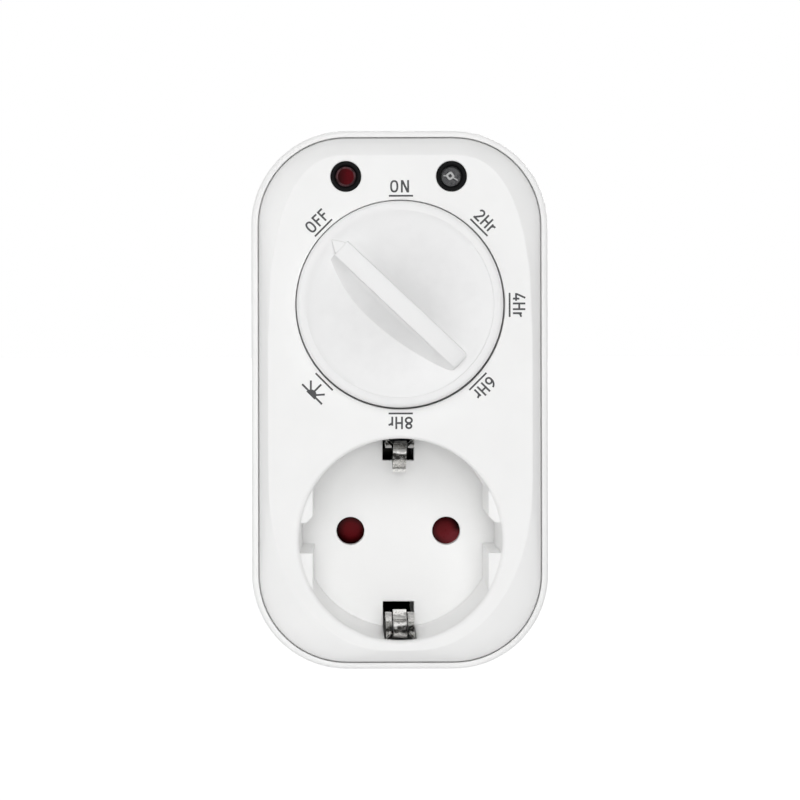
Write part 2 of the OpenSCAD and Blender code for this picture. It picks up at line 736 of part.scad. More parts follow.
// Bevelled lens on two leads.
module lens_body() {
    turned(0, 0) polygon([
        [0, lens_y], [lens_r - lens_bevel, lens_y], [lens_r, lens_y + lens_bevel],
        [lens_r, lens_back_y], [0, lens_back_y]
    ]);
    for (x = [-lens_lead_x, lens_lead_x]) rod(x, 0, lens_back_y - 1, board_y, lens_lead_r);
}

// Black sleeve around a lens, with a flange behind its tube and a countersunk mouth.
module lamp_sleeve() turned(0, 0) polygon([
    [lens_r + 0.4, sleeve_front_y], [lamp_hole_r - slack, sleeve_front_y],
    [lamp_hole_r - slack, tube_back_y], [flange_r, tube_back_y], [flange_r, flange_back_y],
    [lamp_hole_r - slack, flange_back_y], [lamp_hole_r - slack, sleeve_back_y],
    [lens_r + slack, sleeve_back_y], [lens_r + slack, sleeve_front_y + 0.7]
]);

module indicator_led() color("darkred") translate([led_x, 0, lamp_z]) lens_body();
module light_sensor() color("lightgray") translate([sensor_x, 0, lamp_z]) lens_body();
module led_sleeve() color("#1b1b1b") translate([led_x, 0, lamp_z]) lamp_sleeve();
module sensor_sleeve() color("#1b1b1b") translate([sensor_x, 0, lamp_z]) lamp_sleeve();

// ---------------------------------------------------------------- socket

carrier_front_y = floor_back_y + 0.15;
carrier_lug_y = -34.2;
carrier_back_y = -32.2;
cell_back_y = -26.5;                        // back of the walls around the contacts
carrier_r = 16.6;
chamber_r = 13.9;
stake_r = 1.2;
stake_pad_r = 2.4;
post_r = 1.5;
notch_w = 6.8;                              // notches that the earth bracket passes
notch_z = 13.4;
cell_w = 7;
cell_top = 4.1;
cell_bottom = -3.3;
cell_wall = 1.1;

module carrier_notches() for (side = [0, 1]) mirror([0, side])
    translate([-notch_w / 2, notch_z]) square([notch_w, carrier_r]);

module contact_carrier() color("gainsboro") difference() {
    union() {
        slab(carrier_lug_y, carrier_back_y) difference() {
            circle(carrier_r);
            carrier_notches();
        }
        slab(carrier_front_y, carrier_lug_y + eps) difference() {
            union() {
                circle(carrier_r);
                for (s = stake_spots) translate(s) circle(stake_pad_r);
            }
            circle(chamber_r);
            carrier_notches();
        }
        rod(0, 0, carrier_front_y, carrier_lug_y + eps, post_r);
        for (x = [live_x, neutral_x])
            block([x - cell_w / 2 - cell_wall, carrier_back_y - eps, cell_bottom - cell_wall],
                  [x + cell_w / 2 + cell_wall, cell_back_y, cell_top + cell_wall]);
    }
    for (x = [live_x, neutral_x]) {
        block([x - cell_w / 2, carrier_back_y, cell_bottom], [x + cell_w / 2, cell_back_y + 1, cell_top]);
        rod(x, 0, carrier_lug_y - eps, carrier_back_y + eps, pin_hole_r + 2 * slack);
    }
    for (s = stake_spots) {
        rod(s[0], s[1], carrier_front_y - eps, carrier_back_y + eps, stake_r + slack);
        rod(s[0], s[1], carrier_lug_y, carrier_back_y + eps, stake_r + stake_head + 2 * slack);
    }
}

shutter_y = -37.1;                          // front of the shutter
shutter_back_y = -34.7;
wing_angle = 19;                            // half of a wing's angle
wing_r = 13.2;
hub_r = 5;
ramp_angle = 14;
ramp_depth = 0.75;                          // depth of the ramp at a wing's middle
spring_r = 3.2;                             // mean radius of the return spring
spring_wire_r = 0.2;
spring_y = -35.9;                           // middle of the spring's first turn
spring_back_y = -34.45;
spring_groove_y = spring_y - 0.35;          // bottom of the groove that holds the spring
spring_groove = 0.7;                        // half width of that groove

// Wing that covers one live hole, with a ramp that a plug pin pushes aside.
module shutter_wing() difference() {
    slab(shutter_y, shutter_back_y) intersection() {
        circle(wing_r);
        polygon([[0, 0], for (a = [-wing_angle, wing_angle]) 2 * wing_r * [cos(a), sin(a)]]);
    }
    translate([hub_r, shutter_y + ramp_depth, 0]) rotate([-ramp_angle, 0, 0])
        translate([0, -4, -wing_r]) cube([wing_r, 4, 2 * wing_r]);
}

module shutter() color("darkred") difference() {
    union() {
        for (a = [0, 180]) rotate([0, a, 0]) shutter_wing();
        rod(0, 0, shutter_y, shutter_back_y, hub_r);
    }
    rod(0, 0, shutter_y - 1, shutter_back_y + 1, post_r + slack);
    difference() {
        rod(0, 0, spring_groove_y, shutter_back_y + eps, spring_r + spring_groove);
        rod(0, 0, shutter_y - 1, shutter_back_y + 1, spring_r - spring_groove);
    }
    block([spring_r - 2 * spring_wire_r, spring_groove_y, -hub_r - 1],
          [spring_r + 2 * spring_wire_r, shutter_back_y + eps, 0]);
}

module shutter_spring() color("silver")
    coil(spring_r, spring_wire_r, spring_y, spring_back_y, 2.25, 5);

contact_t = 0.7;
contact_top = 3;
contact_y = -31.8;                          // front and back of the leaves that grip a pin
contact_back_y = -23;
jaw = 2.45;                                 // half gap between a contact's leaves
bridge_w = 4.2;                             // width of the strips that run back to the plug

// Spring contact: two leaves that grip a plug pin, hung from a bridge above it.
module contact_jaws(x) translate([x, 0, 0]) {
    block([-jaw - contact_t, contact_y, contact_top],
          [jaw + contact_t, contact_back_y, contact_top + contact_t]);
    for (side = [0, 1]) mirror([side, 0, 0])
        block([jaw, contact_y, -contact_top], [jaw + contact_t, contact_back_y, contact_top + eps]);
}

module live_contact() color("peru") {
    contact_jaws(live_x);
    block([switched_x - 1.8, contact_back_y - contact_t, contact_top],
          [live_x + jaw, contact_back_y, 9.5]);
}

terminal_y = -13.85;                        // front of the plates on the plug pins
terminal_t = 0.8;

module terminal_plate(x, top) slab(terminal_y, terminal_y + terminal_t) translate([x, 0]) difference() {
    union() {
        circle(collar_r - 0.2);
        translate([-bridge_w / 2, 0]) square([bridge_w, top]);
    }
    circle(shank_r + snug);
}

module neutral_contact() color("peru") {
    contact_jaws(neutral_x);
    block([neutral_x - bridge_w / 2, contact_back_y - eps, contact_top],
          [neutral_x + bridge_w / 2, terminal_y + terminal_t, contact_top + contact_t]);
    terminal_plate(neutral_x, contact_top + eps);
}

module live_terminal() color("peru") terminal_plate(live_x, 8);

// ---------------------------------------------------------------- earth parts

bracket_y = -20.6;                          // middle of the bracket's sheet
bracket_t = 0.6;
bracket_bend = 2.5;
leg_z = 17.7;
clip_w = 5.5;
tongue_w = 2.6;
slit_w = 0.25;                              // gap beside a tongue
slit_back_y = -41;
clip_nose_y = -53.8;                        // front ends of a clip's outer corners
tongue_root = [-38.6, leg_z - 0.1];

// The upper clip's tongue is sprung far into the recess, and the lower one's is nearly level
// with its sides. Points are [Y, distance from the recess's axis].
upper_sides = [[clip_nose_y, 19.1], [-52.2, 17.8], [-50.5, 17.4], [-38.5, leg_z], [bracket_y, leg_z]];
lower_sides = [
    [clip_nose_y, 19.2], [-52.2, 18.1], [-50.6, 16.7], [-47.4, 15.2], [-43.5, 16.1],
    [-38.5, leg_z], [bracket_y, leg_z]
];
upper_tongue = [
    [-53, 18.4], [-51.6, 17.2], [-50.2, 15.2], [-48.6, 13.5], [-46.9, 12.1], [-44.2, 13.1],
    [-40.2, 17], tongue_root
];
lower_tongue = [
    [-53.3, 18.9], [-52, 17.9], [-50.6, 16.4], [-47.4, 14.7], [-44.4, 15.4], [-40.2, 17.3],
    tongue_root
];

// One strip bent into two sprung clips. A tongue is slit out of the middle of each, and the
// sides beside it end in points.
module earth_bracket() color("silver") {
    slit_x = tongue_w / 2 + slit_w;
    difference() {
        across(clip_w) strip(rounded(round_trip(upper_sides, lower_sides), bracket_bend), bracket_t);
        block([-slit_x, clip_nose_y - 1, -cup_r], [slit_x, slit_back_y, cup_r]);
        for (side = [0, 1]) mirror([side, 0, 0])
            translate([0, 0, -cup_r]) linear_extrude(2 * cup_r) polygon([
                [slit_x - 1, clip_nose_y - 1], [clip_w / 2, clip_nose_y - 1],
                [clip_w / 2, clip_nose_y], [slit_x, clip_nose_y + 1.5], [slit_x - 1, clip_nose_y + 1.5]
            ]);
        rod(0, 0, bracket_y - 1, bracket_y + 1, rivet_r + snug);
    }
    across(tongue_w) strip(rounded(upper_tongue, bracket_bend), bracket_t);
    mirror([0, 0, 1]) across(tongue_w) strip(rounded(lower_tongue, bracket_bend), bracket_t);
}

rivet_r = 1.5;
rivet_head_r = 2.6;
rivet_head_t = 0.8;

module earth_spacer() color("silver") difference() {
    rod(0, 0, bracket_y + bracket_t / 2, strip_y, rivet_head_r);
    rod(0, 0, bracket_y, strip_y + 1, rivet_r + snug);
}

module earth_rivet() color("silver") {
    rod(0, 0, bracket_y - bracket_t / 2, strip_y + strip_t, rivet_r);
    for (y = [bracket_y - bracket_t / 2 - rivet_head_t, strip_y + strip_t])
        rod(0, 0, y, y + rivet_head_t, rivet_head_r);
}

strip_z = base_r - strip_t / 2;
strip_path = [[-2.9, strip_z - 0.4], [-4.4, strip_z], [strip_y + strip_t / 2, strip_z]];

module plug_earth_strip() color("silver") difference() {
    across(strip_w) strip(rounded(round_trip(strip_path, strip_path), 0.8), strip_t);
    rod(0, 0, strip_y - 1, strip_y + 2, rivet_r + snug);
}

earth_hole_z = 10;
earth_hole_r = 2.45;
sleeve_t = 0.6;
sleeve_slit = 0.8;                          // slit that lets the sleeve grip an earth pin

module earth_pin_sleeve() color("darkgoldenrod") difference() {
    rod(0, earth_hole_z, strip_y + strip_t, -base_wall - 0.1, earth_hole_r + sleeve_t);
    rod(0, earth_hole_z, strip_y, 0, earth_hole_r);
    block([-sleeve_slit / 2, -9, earth_hole_z], [sleeve_slit / 2, 0, earth_hole_z + 4]);
}

// ---------------------------------------------------------------- plug

shank_r = 1.6;
collar_r = 3.6;
neck_r = 2.7;                               // pin's shoulder in the plug's face
retainer_y = -7.6;
retainer_t = 3;
retainer_screw_z = -6;
retainer_boss_r = 2.6;
retainer_pilot_r = 1;
retainer_pilot_back_y = -1;
pin_nose = 1.9;                             // rounding of a pin's tip
pin_collar_y = -4.5;
rivet_flange_r = 2.2;

// Turned pin: round nose, collar behind the plug's face, riveted shank.
module plug_pin(x) turned(x, 0) {
    polygon([
        [0, terminal_y - terminal_t], [rivet_flange_r, terminal_y - terminal_t],
        [rivet_flange_r, terminal_y], [shank_r, terminal_y], [shank_r, terminal_y + terminal_t],
        [pin_r, terminal_y + terminal_t], [pin_r, pin_collar_y], [collar_r, pin_collar_y],
        [collar_r, -base_wall - eps], [neck_r, -base_wall - eps], [neck_r, 0], [pin_r, 0],
        [pin_r, pin_len - 1.8], [pin_r - 1.2, pin_len], [0, pin_len]
    ]);
    intersection() {
        translate([0, pin_len - pin_nose]) circle(pin_nose);
        translate([0, pin_len - pin_nose]) square([pin_r, pin_nose]);
    }
}

module plug_pin_live() color("silver") plug_pin(live_x);
module plug_pin_neutral() color("silver") plug_pin(neutral_x);

module pin_retainer() color("gainsboro") slab(retainer_y, retainer_y + retainer_t) difference() {
    base_outline(base_side_wall + 0.5);
    for (x = [live_x, neutral_x]) translate([x, 0]) circle(pin_r + snug);
    translate([0, earth_hole_z]) circle(earth_hole_r + sleeve_t + 0.2);
    translate([0, retainer_screw_z]) circle(retainer_pilot_r + 0.2);
}

// Each screw is a head and a shank. The retainer's points back, and the others point forward.
small_head_r = 2.1;
small_head_t = 1.4;

module retainer_screw() color("silver") {
    rod(0, retainer_screw_z, retainer_y - small_head_t, retainer_y, small_head_r);
    rod(0, retainer_screw_z, retainer_y - eps, retainer_pilot_back_y - 0.4, retainer_pilot_r - slack);
}

module housing_screws() color("silver") for (s = screw_spots) {
    rod(s[0], s[1], screw_seat_y, screw_seat_y + screw_head_t, screw_head_r);
    rod(s[0], s[1], pilot_front_y + 1, screw_seat_y + eps, pilot_r - slack);
}

module board_screws() color("silver") for (s = board_spots) {
    rod(s[0], s[1], board_back_y, board_back_y + small_head_t, small_head_r);
    rod(s[0], s[1], board_pilot_front_y + 1, board_back_y + eps, board_pilot_r - slack);
}

// ---------------------------------------------------------------- wires

wire_r = 1;
bend_r = 2.5;
wire_z = 24.4;                              // where the wires meet the board
wire_y = -17.7 - bend_r;                    // depth at which the live and neutral wires rise
live_end_z = 6;                             // where the live wire leaves its terminal

// Quarter bend of a wire in the plane across X; start it at the arc's centre and turn it.
module bend(x, y, z, turn) translate([x, y, z]) rotate([turn, 0, 0]) rotate([0, -90, 0])
    rotate_extrude(angle = 90) translate([bend_r, 0]) circle(wire_r);

// Rises along Z at depth y from z0, then turns forward to the board.
module rising_wire(x, y, z0) {
    translate([x, y, z0]) cylinder(h = wire_z - bend_r - z0, r = wire_r);
    bend(x, y - bend_r, wire_z - bend_r, 0);
    rod(x, wire_z, board_back_y, y - bend_r, wire_r);
}

module live_wire() color("sienna") {
    rod(live_x, live_end_z, wire_y + bend_r, terminal_y, wire_r);
    bend(live_x, wire_y + bend_r, live_end_z + bend_r, 180);
    rising_wire(live_x, wire_y, live_end_z + bend_r);
}

module switched_wire() color("black")
    rising_wire(switched_x, contact_back_y - contact_t - wire_r, contact_top + 2);

module neutral_wire() color("royalblue") rising_wire(neutral_x, wire_y, contact_top + contact_t);

front_cover();
rear_housing();
knob();
switch_rotor();
switch_wiper();
detent_balls();
detent_spring();
switch_body();
main_board();
relay();
dropper_capacitor();
smoothing_capacitor();
filter_capacitor();
fuse();
varistor();
board_resistors();
rectifier_diodes();
timer_chip();
indicator_led();
led_sleeve();
light_sensor();
sensor_sleeve();
live_contact();
neutral_contact();
contact_carrier();
shutter();
shutter_spring();
earth_bracket();
earth_spacer();
earth_rivet();
plug_earth_strip();
earth_pin_sleeve();
plug_pin_live();
plug_pin_neutral();
live_terminal();
pin_retainer();
retainer_screw();
live_wire();
switched_wire();
neutral_wire();
housing_screws();
board_screws();
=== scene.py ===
import json
import math

import bmesh
import bpy
import numpy as np
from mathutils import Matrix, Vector, geometry


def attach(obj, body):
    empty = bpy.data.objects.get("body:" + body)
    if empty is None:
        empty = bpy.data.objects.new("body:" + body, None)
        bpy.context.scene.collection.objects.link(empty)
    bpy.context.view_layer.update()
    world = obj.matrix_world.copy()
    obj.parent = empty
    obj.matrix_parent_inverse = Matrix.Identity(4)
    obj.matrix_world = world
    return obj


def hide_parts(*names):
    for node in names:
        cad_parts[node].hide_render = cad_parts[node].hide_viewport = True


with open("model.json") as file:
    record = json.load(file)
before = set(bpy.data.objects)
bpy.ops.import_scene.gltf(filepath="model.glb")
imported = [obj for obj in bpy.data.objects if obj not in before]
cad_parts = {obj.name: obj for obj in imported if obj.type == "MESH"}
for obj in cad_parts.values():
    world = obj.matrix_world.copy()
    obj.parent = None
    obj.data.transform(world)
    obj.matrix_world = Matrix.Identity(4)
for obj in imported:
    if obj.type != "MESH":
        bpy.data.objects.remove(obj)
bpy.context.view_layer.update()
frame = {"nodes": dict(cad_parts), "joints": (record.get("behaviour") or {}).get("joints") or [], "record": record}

# Looks of the plug-in timer switch. Lengths are in millimetres here, and become metres where a
# mesh, a lamp or the camera is made.

nodes = frame["nodes"]

MM = 0.001


def show(name, data):
    """A new object in the scene."""
    made = bpy.data.objects.new(name, data)
    bpy.context.scene.collection.objects.link(made)
    return made


def box(name):
    """Low and high corner of a node's box, to a micrometre."""
    corners = [nodes[name].matrix_world @ Vector(corner) for corner in nodes[name].bound_box]
    return [[round(end(c[axis] for c in corners) / MM, 3) for axis in range(3)] for end in (min, max)]


def middle(name):
    """Middle of a node's box."""
    return [round((low + high) / 2, 3) for low, high in zip(*box(name))]


def position(entries, name):
    """Where the frame puts a joint or a mount."""
    entry = next(entry for entry in entries if entry["name"] == name)
    return [round(value / MM, 3) for value in entry["pos_m"]]


FACE_Y = box("front_cover")[0][1]
DIAL_Z = position(frame["joints"], "knob_turn")[2]
PIN_X = position(frame["record"]["mounts"], "socket_neutral_hole")[0]
LED_X, _, LAMP_Z = middle("indicator_led")
SENSOR_X = middle("light_sensor")[0]
LENS_BACK_Y = -49.6  # where the resin of both lamps ends and their leads begin


# ---- procedural finishes

LOW, HIGH = 0.3, 0.7  # nearly all of a noise's values lie between these


def add_node(tree, kind, inputs=None, **settings):
    """A new node. Its inputs are values, or sockets to link."""
    node = tree.nodes.new(kind)
    for name, value in settings.items():
        setattr(node, name, value)
    for name, value in (inputs or {}).items():
        if isinstance(value, bpy.types.NodeSocket):
            tree.links.new(value, node.inputs[name])
        else:
            node.inputs[name].default_value = value
    return node


class Finish:
    """A procedural material: one principled shader and the nodes that feed it."""

    def __init__(self, name, **sockets):
        self.material = bpy.data.materials.new(name)
        self.material.use_nodes = True
        self.tree = self.material.node_tree
        self.shader = self.tree.nodes["Principled BSDF"]
        for socket, value in sockets.items():
            self.shader.inputs[socket.replace("_", " ")].default_value = value
        self.place = self.add("ShaderNodeTexCoord").outputs["Object"]

    def add(self, kind, inputs=None, **settings):
        return add_node(self.tree, kind, inputs, **settings)

    def feed(self, socket, value):
        self.tree.links.new(value, self.shader.inputs[socket])

    def noise(self, size, detail=2.0, stretch=(1.0, 1.0, 1.0)):
        """Noise whose features are about size millimetres, longer where stretch is above 1."""
        spread = [1 / (size * MM * s) for s in stretch]
        mapping = self.add("ShaderNodeMapping", {"Vector": self.place, "Scale": spread})
        inputs = {"Vector": mapping.outputs["Vector"], "Scale": 1.0, "Detail": detail}
        return self.add("ShaderNodeTexNoise", inputs).outputs["Fac"]

    def axis(self, name):
        """One coordinate of the row frame, in millimetres."""
        parts = self.add("ShaderNodeSeparateXYZ", {"Vector": self.place})
        return self.math("MULTIPLY", parts.outputs[name], 1 / MM)

    def math(self, operation, a, b=0.0):
        return self.add("ShaderNodeMath", {0: a, 1: b}, operation=operation).outputs[0]

    def distance(self, across, up):
        """Length of the vector of two coordinates."""
        squares = [self.math("MULTIPLY", value, value) for value in (across, up)]
        return self.math("SQRT", self.math("ADD", *squares))

    def spread(self, value, low, high, from_low=LOW, from_high=HIGH):
        """Maps a value between from_low and from_high, such as a noise, onto low to high."""
        limits = {"From Min": from_low, "From Max": from_high, "To Min": low, "To Max": high}
        return self.add("ShaderNodeMapRange", {"Value": value, **limits}).outputs["Result"]

    def tones(self, value, *stops, constant=False):
        """Colours along a value from 0 to 1: stops are (position, colour)."""
        ramp = self.add("ShaderNodeValToRGB", {"Fac": value})
        ramp.color_ramp.interpolation = "CONSTANT" if constant else "LINEAR"
        elements = ramp.color_ramp.elements
        while len(elements) < len(stops):
            elements.new(1.0)
        for element, (position, colour) in zip(elements, stops):
            element.position = position
            element.color = (*colour, 1.0)
        return ramp.outputs["Color"]

    def mottle(self, noise, dark, pale):
        """Two colours that pass into each other along a noise."""
        return self.tones(noise, (LOW, dark), (HIGH, pale))

    def mix(self, share, a, b):
        """Colour a where share is 0 and b where it is 1."""
        a, b = (c if isinstance(c, bpy.types.NodeSocket) else (*c, 1.0) for c in (a, b))
        made = self.add("ShaderNodeMix", {0: share, 6: a, 7: b}, data_type="RGBA")
        return made.outputs[2]

    def relief(self, height, depth, edge=0.0):
        """Bump whose full height is depth millimetres, over edges rounded by edge millimetres."""
        inputs = {"Height": height, "Distance": depth * MM}
        if edge:
            rounded = self.add("ShaderNodeBevel", {"Radius": edge * MM}, samples=4)
            inputs["Normal"] = rounded.outputs["Normal"]
        self.feed("Normal", self.add("ShaderNodeBump", inputs).outputs["Normal"])

    def covered(self, colour, texture, gloss, depth, edge=0.0):
        """The material, once a texture has made its gloss uneven and its surface rough."""
        self.feed("Base Color", colour)
        self.feed("Roughness", self.spread(texture, *gloss))
        self.relief(texture, depth, edge)
        return self.material


def shade(colour, factor):
    """A colour made brighter or darker."""
    return tuple(min(1.0, c * factor) for c in colour)


def moulded(
    name, colour, roughness, grain=0.28, depth=0.006, mottle=0.012, edge=0.2, zone=None, **sockets
):
    """Moulded plastic: eroded grain of the tool, faint flow mottling and uneven gloss.

    zone is a stretch that looks otherwise, by painted light or painted shade: a function that makes
    its mask, which is 1 there and 0 elsewhere, its colour, and how much smoother it is.
    """
    finish = Finish(name, **sockets)
    flow = finish.noise(9.0)
    skin = finish.mottle(flow, shade(colour, 1 - mottle), shade(colour, 1 + mottle))
    rough = finish.spread(flow, roughness - 0.04, roughness + 0.04)
    if zone:
        mask, zone_colour, smoother = zone
        share = mask(finish)
        skin = finish.mix(share, skin, zone_colour)
        rough = finish.math("SUBTRACT", rough, finish.math("MULTIPLY", share, smoother))
    finish.feed("Base Color", skin)
    finish.feed("Roughness", rough)
    finish.relief(finish.noise(grain, detail=3.0), depth, edge)
    return finish.material


RECESS_LIP_Y = (-56.2, -54.5)  # the mask of painted light and polish on the recess's walls sets in over these depths,
RECESS_FOOT_Y = (-41.5, -40.2)  # fades over these, just in front of the floor,
RECESS_SIDE_R = (20.6, 21.0)  # and ends between these radii


def recess_light_and_polish(finish):
    """Mask of the recess's walls, made paler by painted light and smoother by a polished core."""
    depth = finish.axis("Y")
    radius = finish.distance(finish.axis("X"), finish.axis("Z"))
    behind_lip = finish.spread(depth, 0.0, 1.0, *RECESS_LIP_Y)
    before_floor = finish.spread(depth, 1.0, 0.2, *RECESS_FOOT_Y)
    walls = finish.math("MULTIPLY", behind_lip, before_floor)
    return finish.math("MULTIPLY", walls, finish.spread(radius, 1.0, 0.0, *RECESS_SIDE_R))


DISH_SHADE_R = (4.5, 15.5)  # painted shade in the knob's dish fades between these radii,
DISH_SHADE_Y = (-61.2, -60.4)  # and sets in over these depths, behind the bar's front


def dish_painted_shade(finish):
    """Mask of painted shade in the dish's middle around the bar, but not on the bar's front."""
    radius = finish.distance(finish.axis("X"), finish.math("SUBTRACT", finish.axis("Z"), DIAL_Z))
    ragged_edge = finish.spread(finish.noise(2.6, detail=3.0), -1.2, 1.2)
    in_shade = finish.spread(finish.math("ADD", radius, ragged_edge), 1.0, 0.0, *DISH_SHADE_R)
    behind_front = finish.spread(finish.axis("Y"), 0.0, 1.0, *DISH_SHADE_Y)
    return finish.math("MULTIPLY", in_shade, behind_front)


def worked_metal(name, colour, roughness, lines=(1.0, 1.0, 1.0), tarnish=0.08):
    """Rolled, drawn or turned metal: lines along the stretched axis, uneven gloss, tarnish."""
    finish = Finish(name, Metallic=1.0)
    drawn = finish.noise(0.12, detail=4.0, stretch=lines)
    stain = finish.noise(2.2, detail=3.0)
    stained = finish.tones(stain, (0.35, shade(colour, 1 - tarnish)), (0.7, colour))
    return finish.covered(stained, drawn, (0.75 * roughness, 1.3 * roughness), 0.004, 0.12)


def plate_with_painted_reflections(name, bright, dark, roughness):
    """Nickel plate with painted reflections in bright and dark bands across its bent tongues, and painted shade
    that darkens it behind.
    """
    finish = Finish(name, Metallic=1.0)
    mid, dim = shade(bright, 0.72), shade(bright, 0.36)
    lower_tongue = [  # height and tone of the painted reflection
        (-19.2, dim), (-18.4, bright), (-17.9, dark), (-17.4, dark), (-17.0, bright), (-15.9, mid),
        (-15.4, dim), (-15.0, bright), (-14.2, bright), (-13.6, mid), (0.0, mid),
    ]
    upper_tongue = [
        (12.6, bright), (13.2, mid), (14.3, bright), (14.9, mid), (15.2, dark), (15.9, dark),
        (16.2, bright), (16.6, dim), (17.4, dim), (18.0, dark), (19.4, mid),
    ]
    reach = 24.0  # the bands are laid out from this far below 0 to this far above
    back_y = (-44.0, -38.0)  # painted shade darkens the plate between these depths
    waver = finish.spread(finish.noise(1.4, detail=1.0), -0.35, 0.35)
    height = finish.spread(finish.math("ADD", finish.axis("Z"), waver), 0.0, 1.0, -reach, reach)
    stops = [(0.5 + z / (2 * reach), tone) for z, tone in lower_tongue + upper_tongue]
    scuffs = finish.spread(finish.noise(0.45, detail=2.0), 0.0, 0.6, 0.52, 0.64)
    behind = finish.spread(finish.axis("Y"), 0.0, 1.0, *back_y)
    # the tones by height are painted reflections, and the dark behind is painted shade
    plate = finish.mix(scuffs, finish.tones(height, *stops), dim)
    drawn = finish.noise(0.12, detail=4.0, stretch=(24.0, 1.0, 1.0))
    gloss = (0.75 * roughness, 1.3 * roughness)
    return finish.covered(finish.mix(behind, plate, dark), drawn, gloss, 0.003, 0.15)


def shutter_nylon(colour, highlight_colour):
    """Dark red nylon, darker away from each hole's middle by painted shade, with a painted highlight low at the
    right-hand hole.
    """
    finish = Finish("red_nylon", Specular_IOR_Level=0.1)
    hole_x = PIN_X - 0.2
    hole_shade_r = (1.3, 2.7)  # painted shade sets in between these radii, out from each hole's middle
    highlight_r = (0.5, 1.7)  # the painted highlight sets in between these,
    highlight_z = (-0.7, 0.25)  # fades between these heights
    highlight_x = (8.0, 10.8)  # and grows to the right between these
    height = finish.axis("Z")
    across = finish.math("SUBTRACT", finish.math("ABSOLUTE", finish.axis("X")), hole_x)
    radius = finish.distance(across, height)
    # painted highlight: a ring low at the right-hand hole
    ring = finish.spread(radius, 0.0, 1.0, *highlight_r)
    low_half = finish.spread(height, 1.0, 0.0, *highlight_z)
    right_hole = finish.spread(finish.axis("X"), 0.0, 1.0, *highlight_x)
    highlight_mask = finish.math("MULTIPLY", finish.math("MULTIPLY", ring, low_half), right_hole)
    # painted shade: darker away from each hole's middle
    hole_shade = finish.spread(radius, 0.0, 1.0, *hole_shade_r)
    skin = finish.mottle(finish.noise(3.0), shade(colour, 0.9), shade(colour, 1.15))
    skin = finish.mix(hole_shade, skin, shade(colour, 0.12))
    grain = finish.noise(0.6, detail=3.0)
    return finish.covered(finish.mix(highlight_mask, skin, highlight_colour), grain, (0.26, 0.36), 0.006, 0.2)


def cable_skin(name, colour):
    """Soft PVC over strands: slight waves along the wire and a waxy gloss."""
    finish = Finish(name, Specular_IOR_Level=0.45)
    waves = finish.noise(1.6, detail=1.0)
    skin = finish.mottle(waves, shade(colour, 0.85), colour)
    return finish.covered(skin, waves, (0.38, 0.5), 0.03)


def circuit_laminate():
    """Green solder mask over copper tracks that run along X and Z."""
    finish = Finish("circuit_laminate", Coat_Weight=0.35, Coat_Roughness=0.12)
    weave = finish.noise(0.5, detail=2.0, stretch=(1.0, 1.0, 6.0))
    upright = finish.add(
        "ShaderNodeMapping", {"Vector": finish.place, "Rotation": (math.pi / 2, 0.0, 0.0)}
    )
    tracks = finish.add(
        "ShaderNodeTexBrick",
        {
            "Vector": upright.outputs["Vector"],
            "Color1": (1.0, 1.0, 1.0, 1.0),
            "Color2": (0.9, 0.9, 0.9, 1.0),
            "Mortar": (0.0, 0.0, 0.0, 1.0),
            "Scale": 120.0,
            "Mortar Size": 0.06,
            "Brick Width": 0.9,
            "Row Height": 0.3,
        },
    ).outputs["Color"]
    finish.feed("Base Color", finish.mix(tracks, (0.012, 0.05, 0.02), (0.02, 0.11, 0.04)))
    finish.feed("Roughness", finish.spread(weave, 0.3, 0.42))
    finish.relief(tracks, 0.035)
    return finish.material


def lacquered_bands():
    """Tan lacquer with the colour bands of a resistor, across X."""
    finish = Finish("resistor_lacquer", Coat_Weight=0.3, Coat_Roughness=0.2)
    centre = middle("board_resistors")[0]
    half = 3.15  # of the body between its leads
    tan, brown, black = (0.5, 0.36, 0.18), (0.16, 0.06, 0.02), (0.01, 0.01, 0.01)
    orange, gold = (0.5, 0.12, 0.01), (0.45, 0.3, 0.06)
    bands = finish.tones(
        finish.spread(finish.axis("X"), 0.0, 1.0, centre - half, centre + half),
        (0.0, tan), (0.16, brown), (0.26, tan), (0.36, black), (0.46, tan), (0.54, orange),
        (0.64, tan), (0.8, gold), (0.9, tan),
        constant=True,
    )
    waves = finish.noise(0.7)
    aged = finish.mix(finish.spread(waves, 0.0, 0.12), bands, (0.3, 0.2, 0.1))
    return finish.covered(aged, waves, (0.3, 0.4), 0.02)


def banded_diode():
    """Black epoxy with a silver cathode band near the upper end of each diode."""
    finish = Finish("diode_epoxy")
    pitch = 12.0  # between the lower and the upper row
    between = middle("rectifier_diodes")[2]
    band = (1.0, 1.7)  # above a diode's middle
    height = finish.add(
        "ShaderNodeMath", {0: finish.axis("Z"), 1: between, 2: between - pitch}, operation="WRAP"
    ).outputs[0]
    lower_row = between - pitch / 2
    above = finish.math("GREATER_THAN", height, lower_row + band[0])
    below = finish.math("LESS_THAN", height, lower_row + band[1])
    silver = finish.math("MULTIPLY", above, below)
    body = finish.mix(silver, (0.012, 0.012, 0.013), (0.42, 0.42, 0.42))
    return finish.covered(body, finish.noise(0.4), (0.36, 0.5), 0.01)


BARE_TOP = 0.4  # how far down from a can's top its metal is bare


def sleeved_can(name, node):
    """Dark shrink sleeve, and bare aluminium on the top."""
    finish = Finish(name, Specular_IOR_Level=0.5)
    fold = finish.noise(1.2, stretch=(1.0, 8.0, 1.0))
    bare = finish.math("GREATER_THAN", finish.axis("Y"), box(node)[1][1] - BARE_TOP)
    finish.feed("Metallic", bare)
    sleeve = finish.mottle(fold, (0.008, 0.01, 0.03), (0.014, 0.018, 0.05))
    return finish.covered(finish.mix(bare, sleeve, (0.72, 0.73, 0.74)), fold, (0.22, 0.36), 0.02)


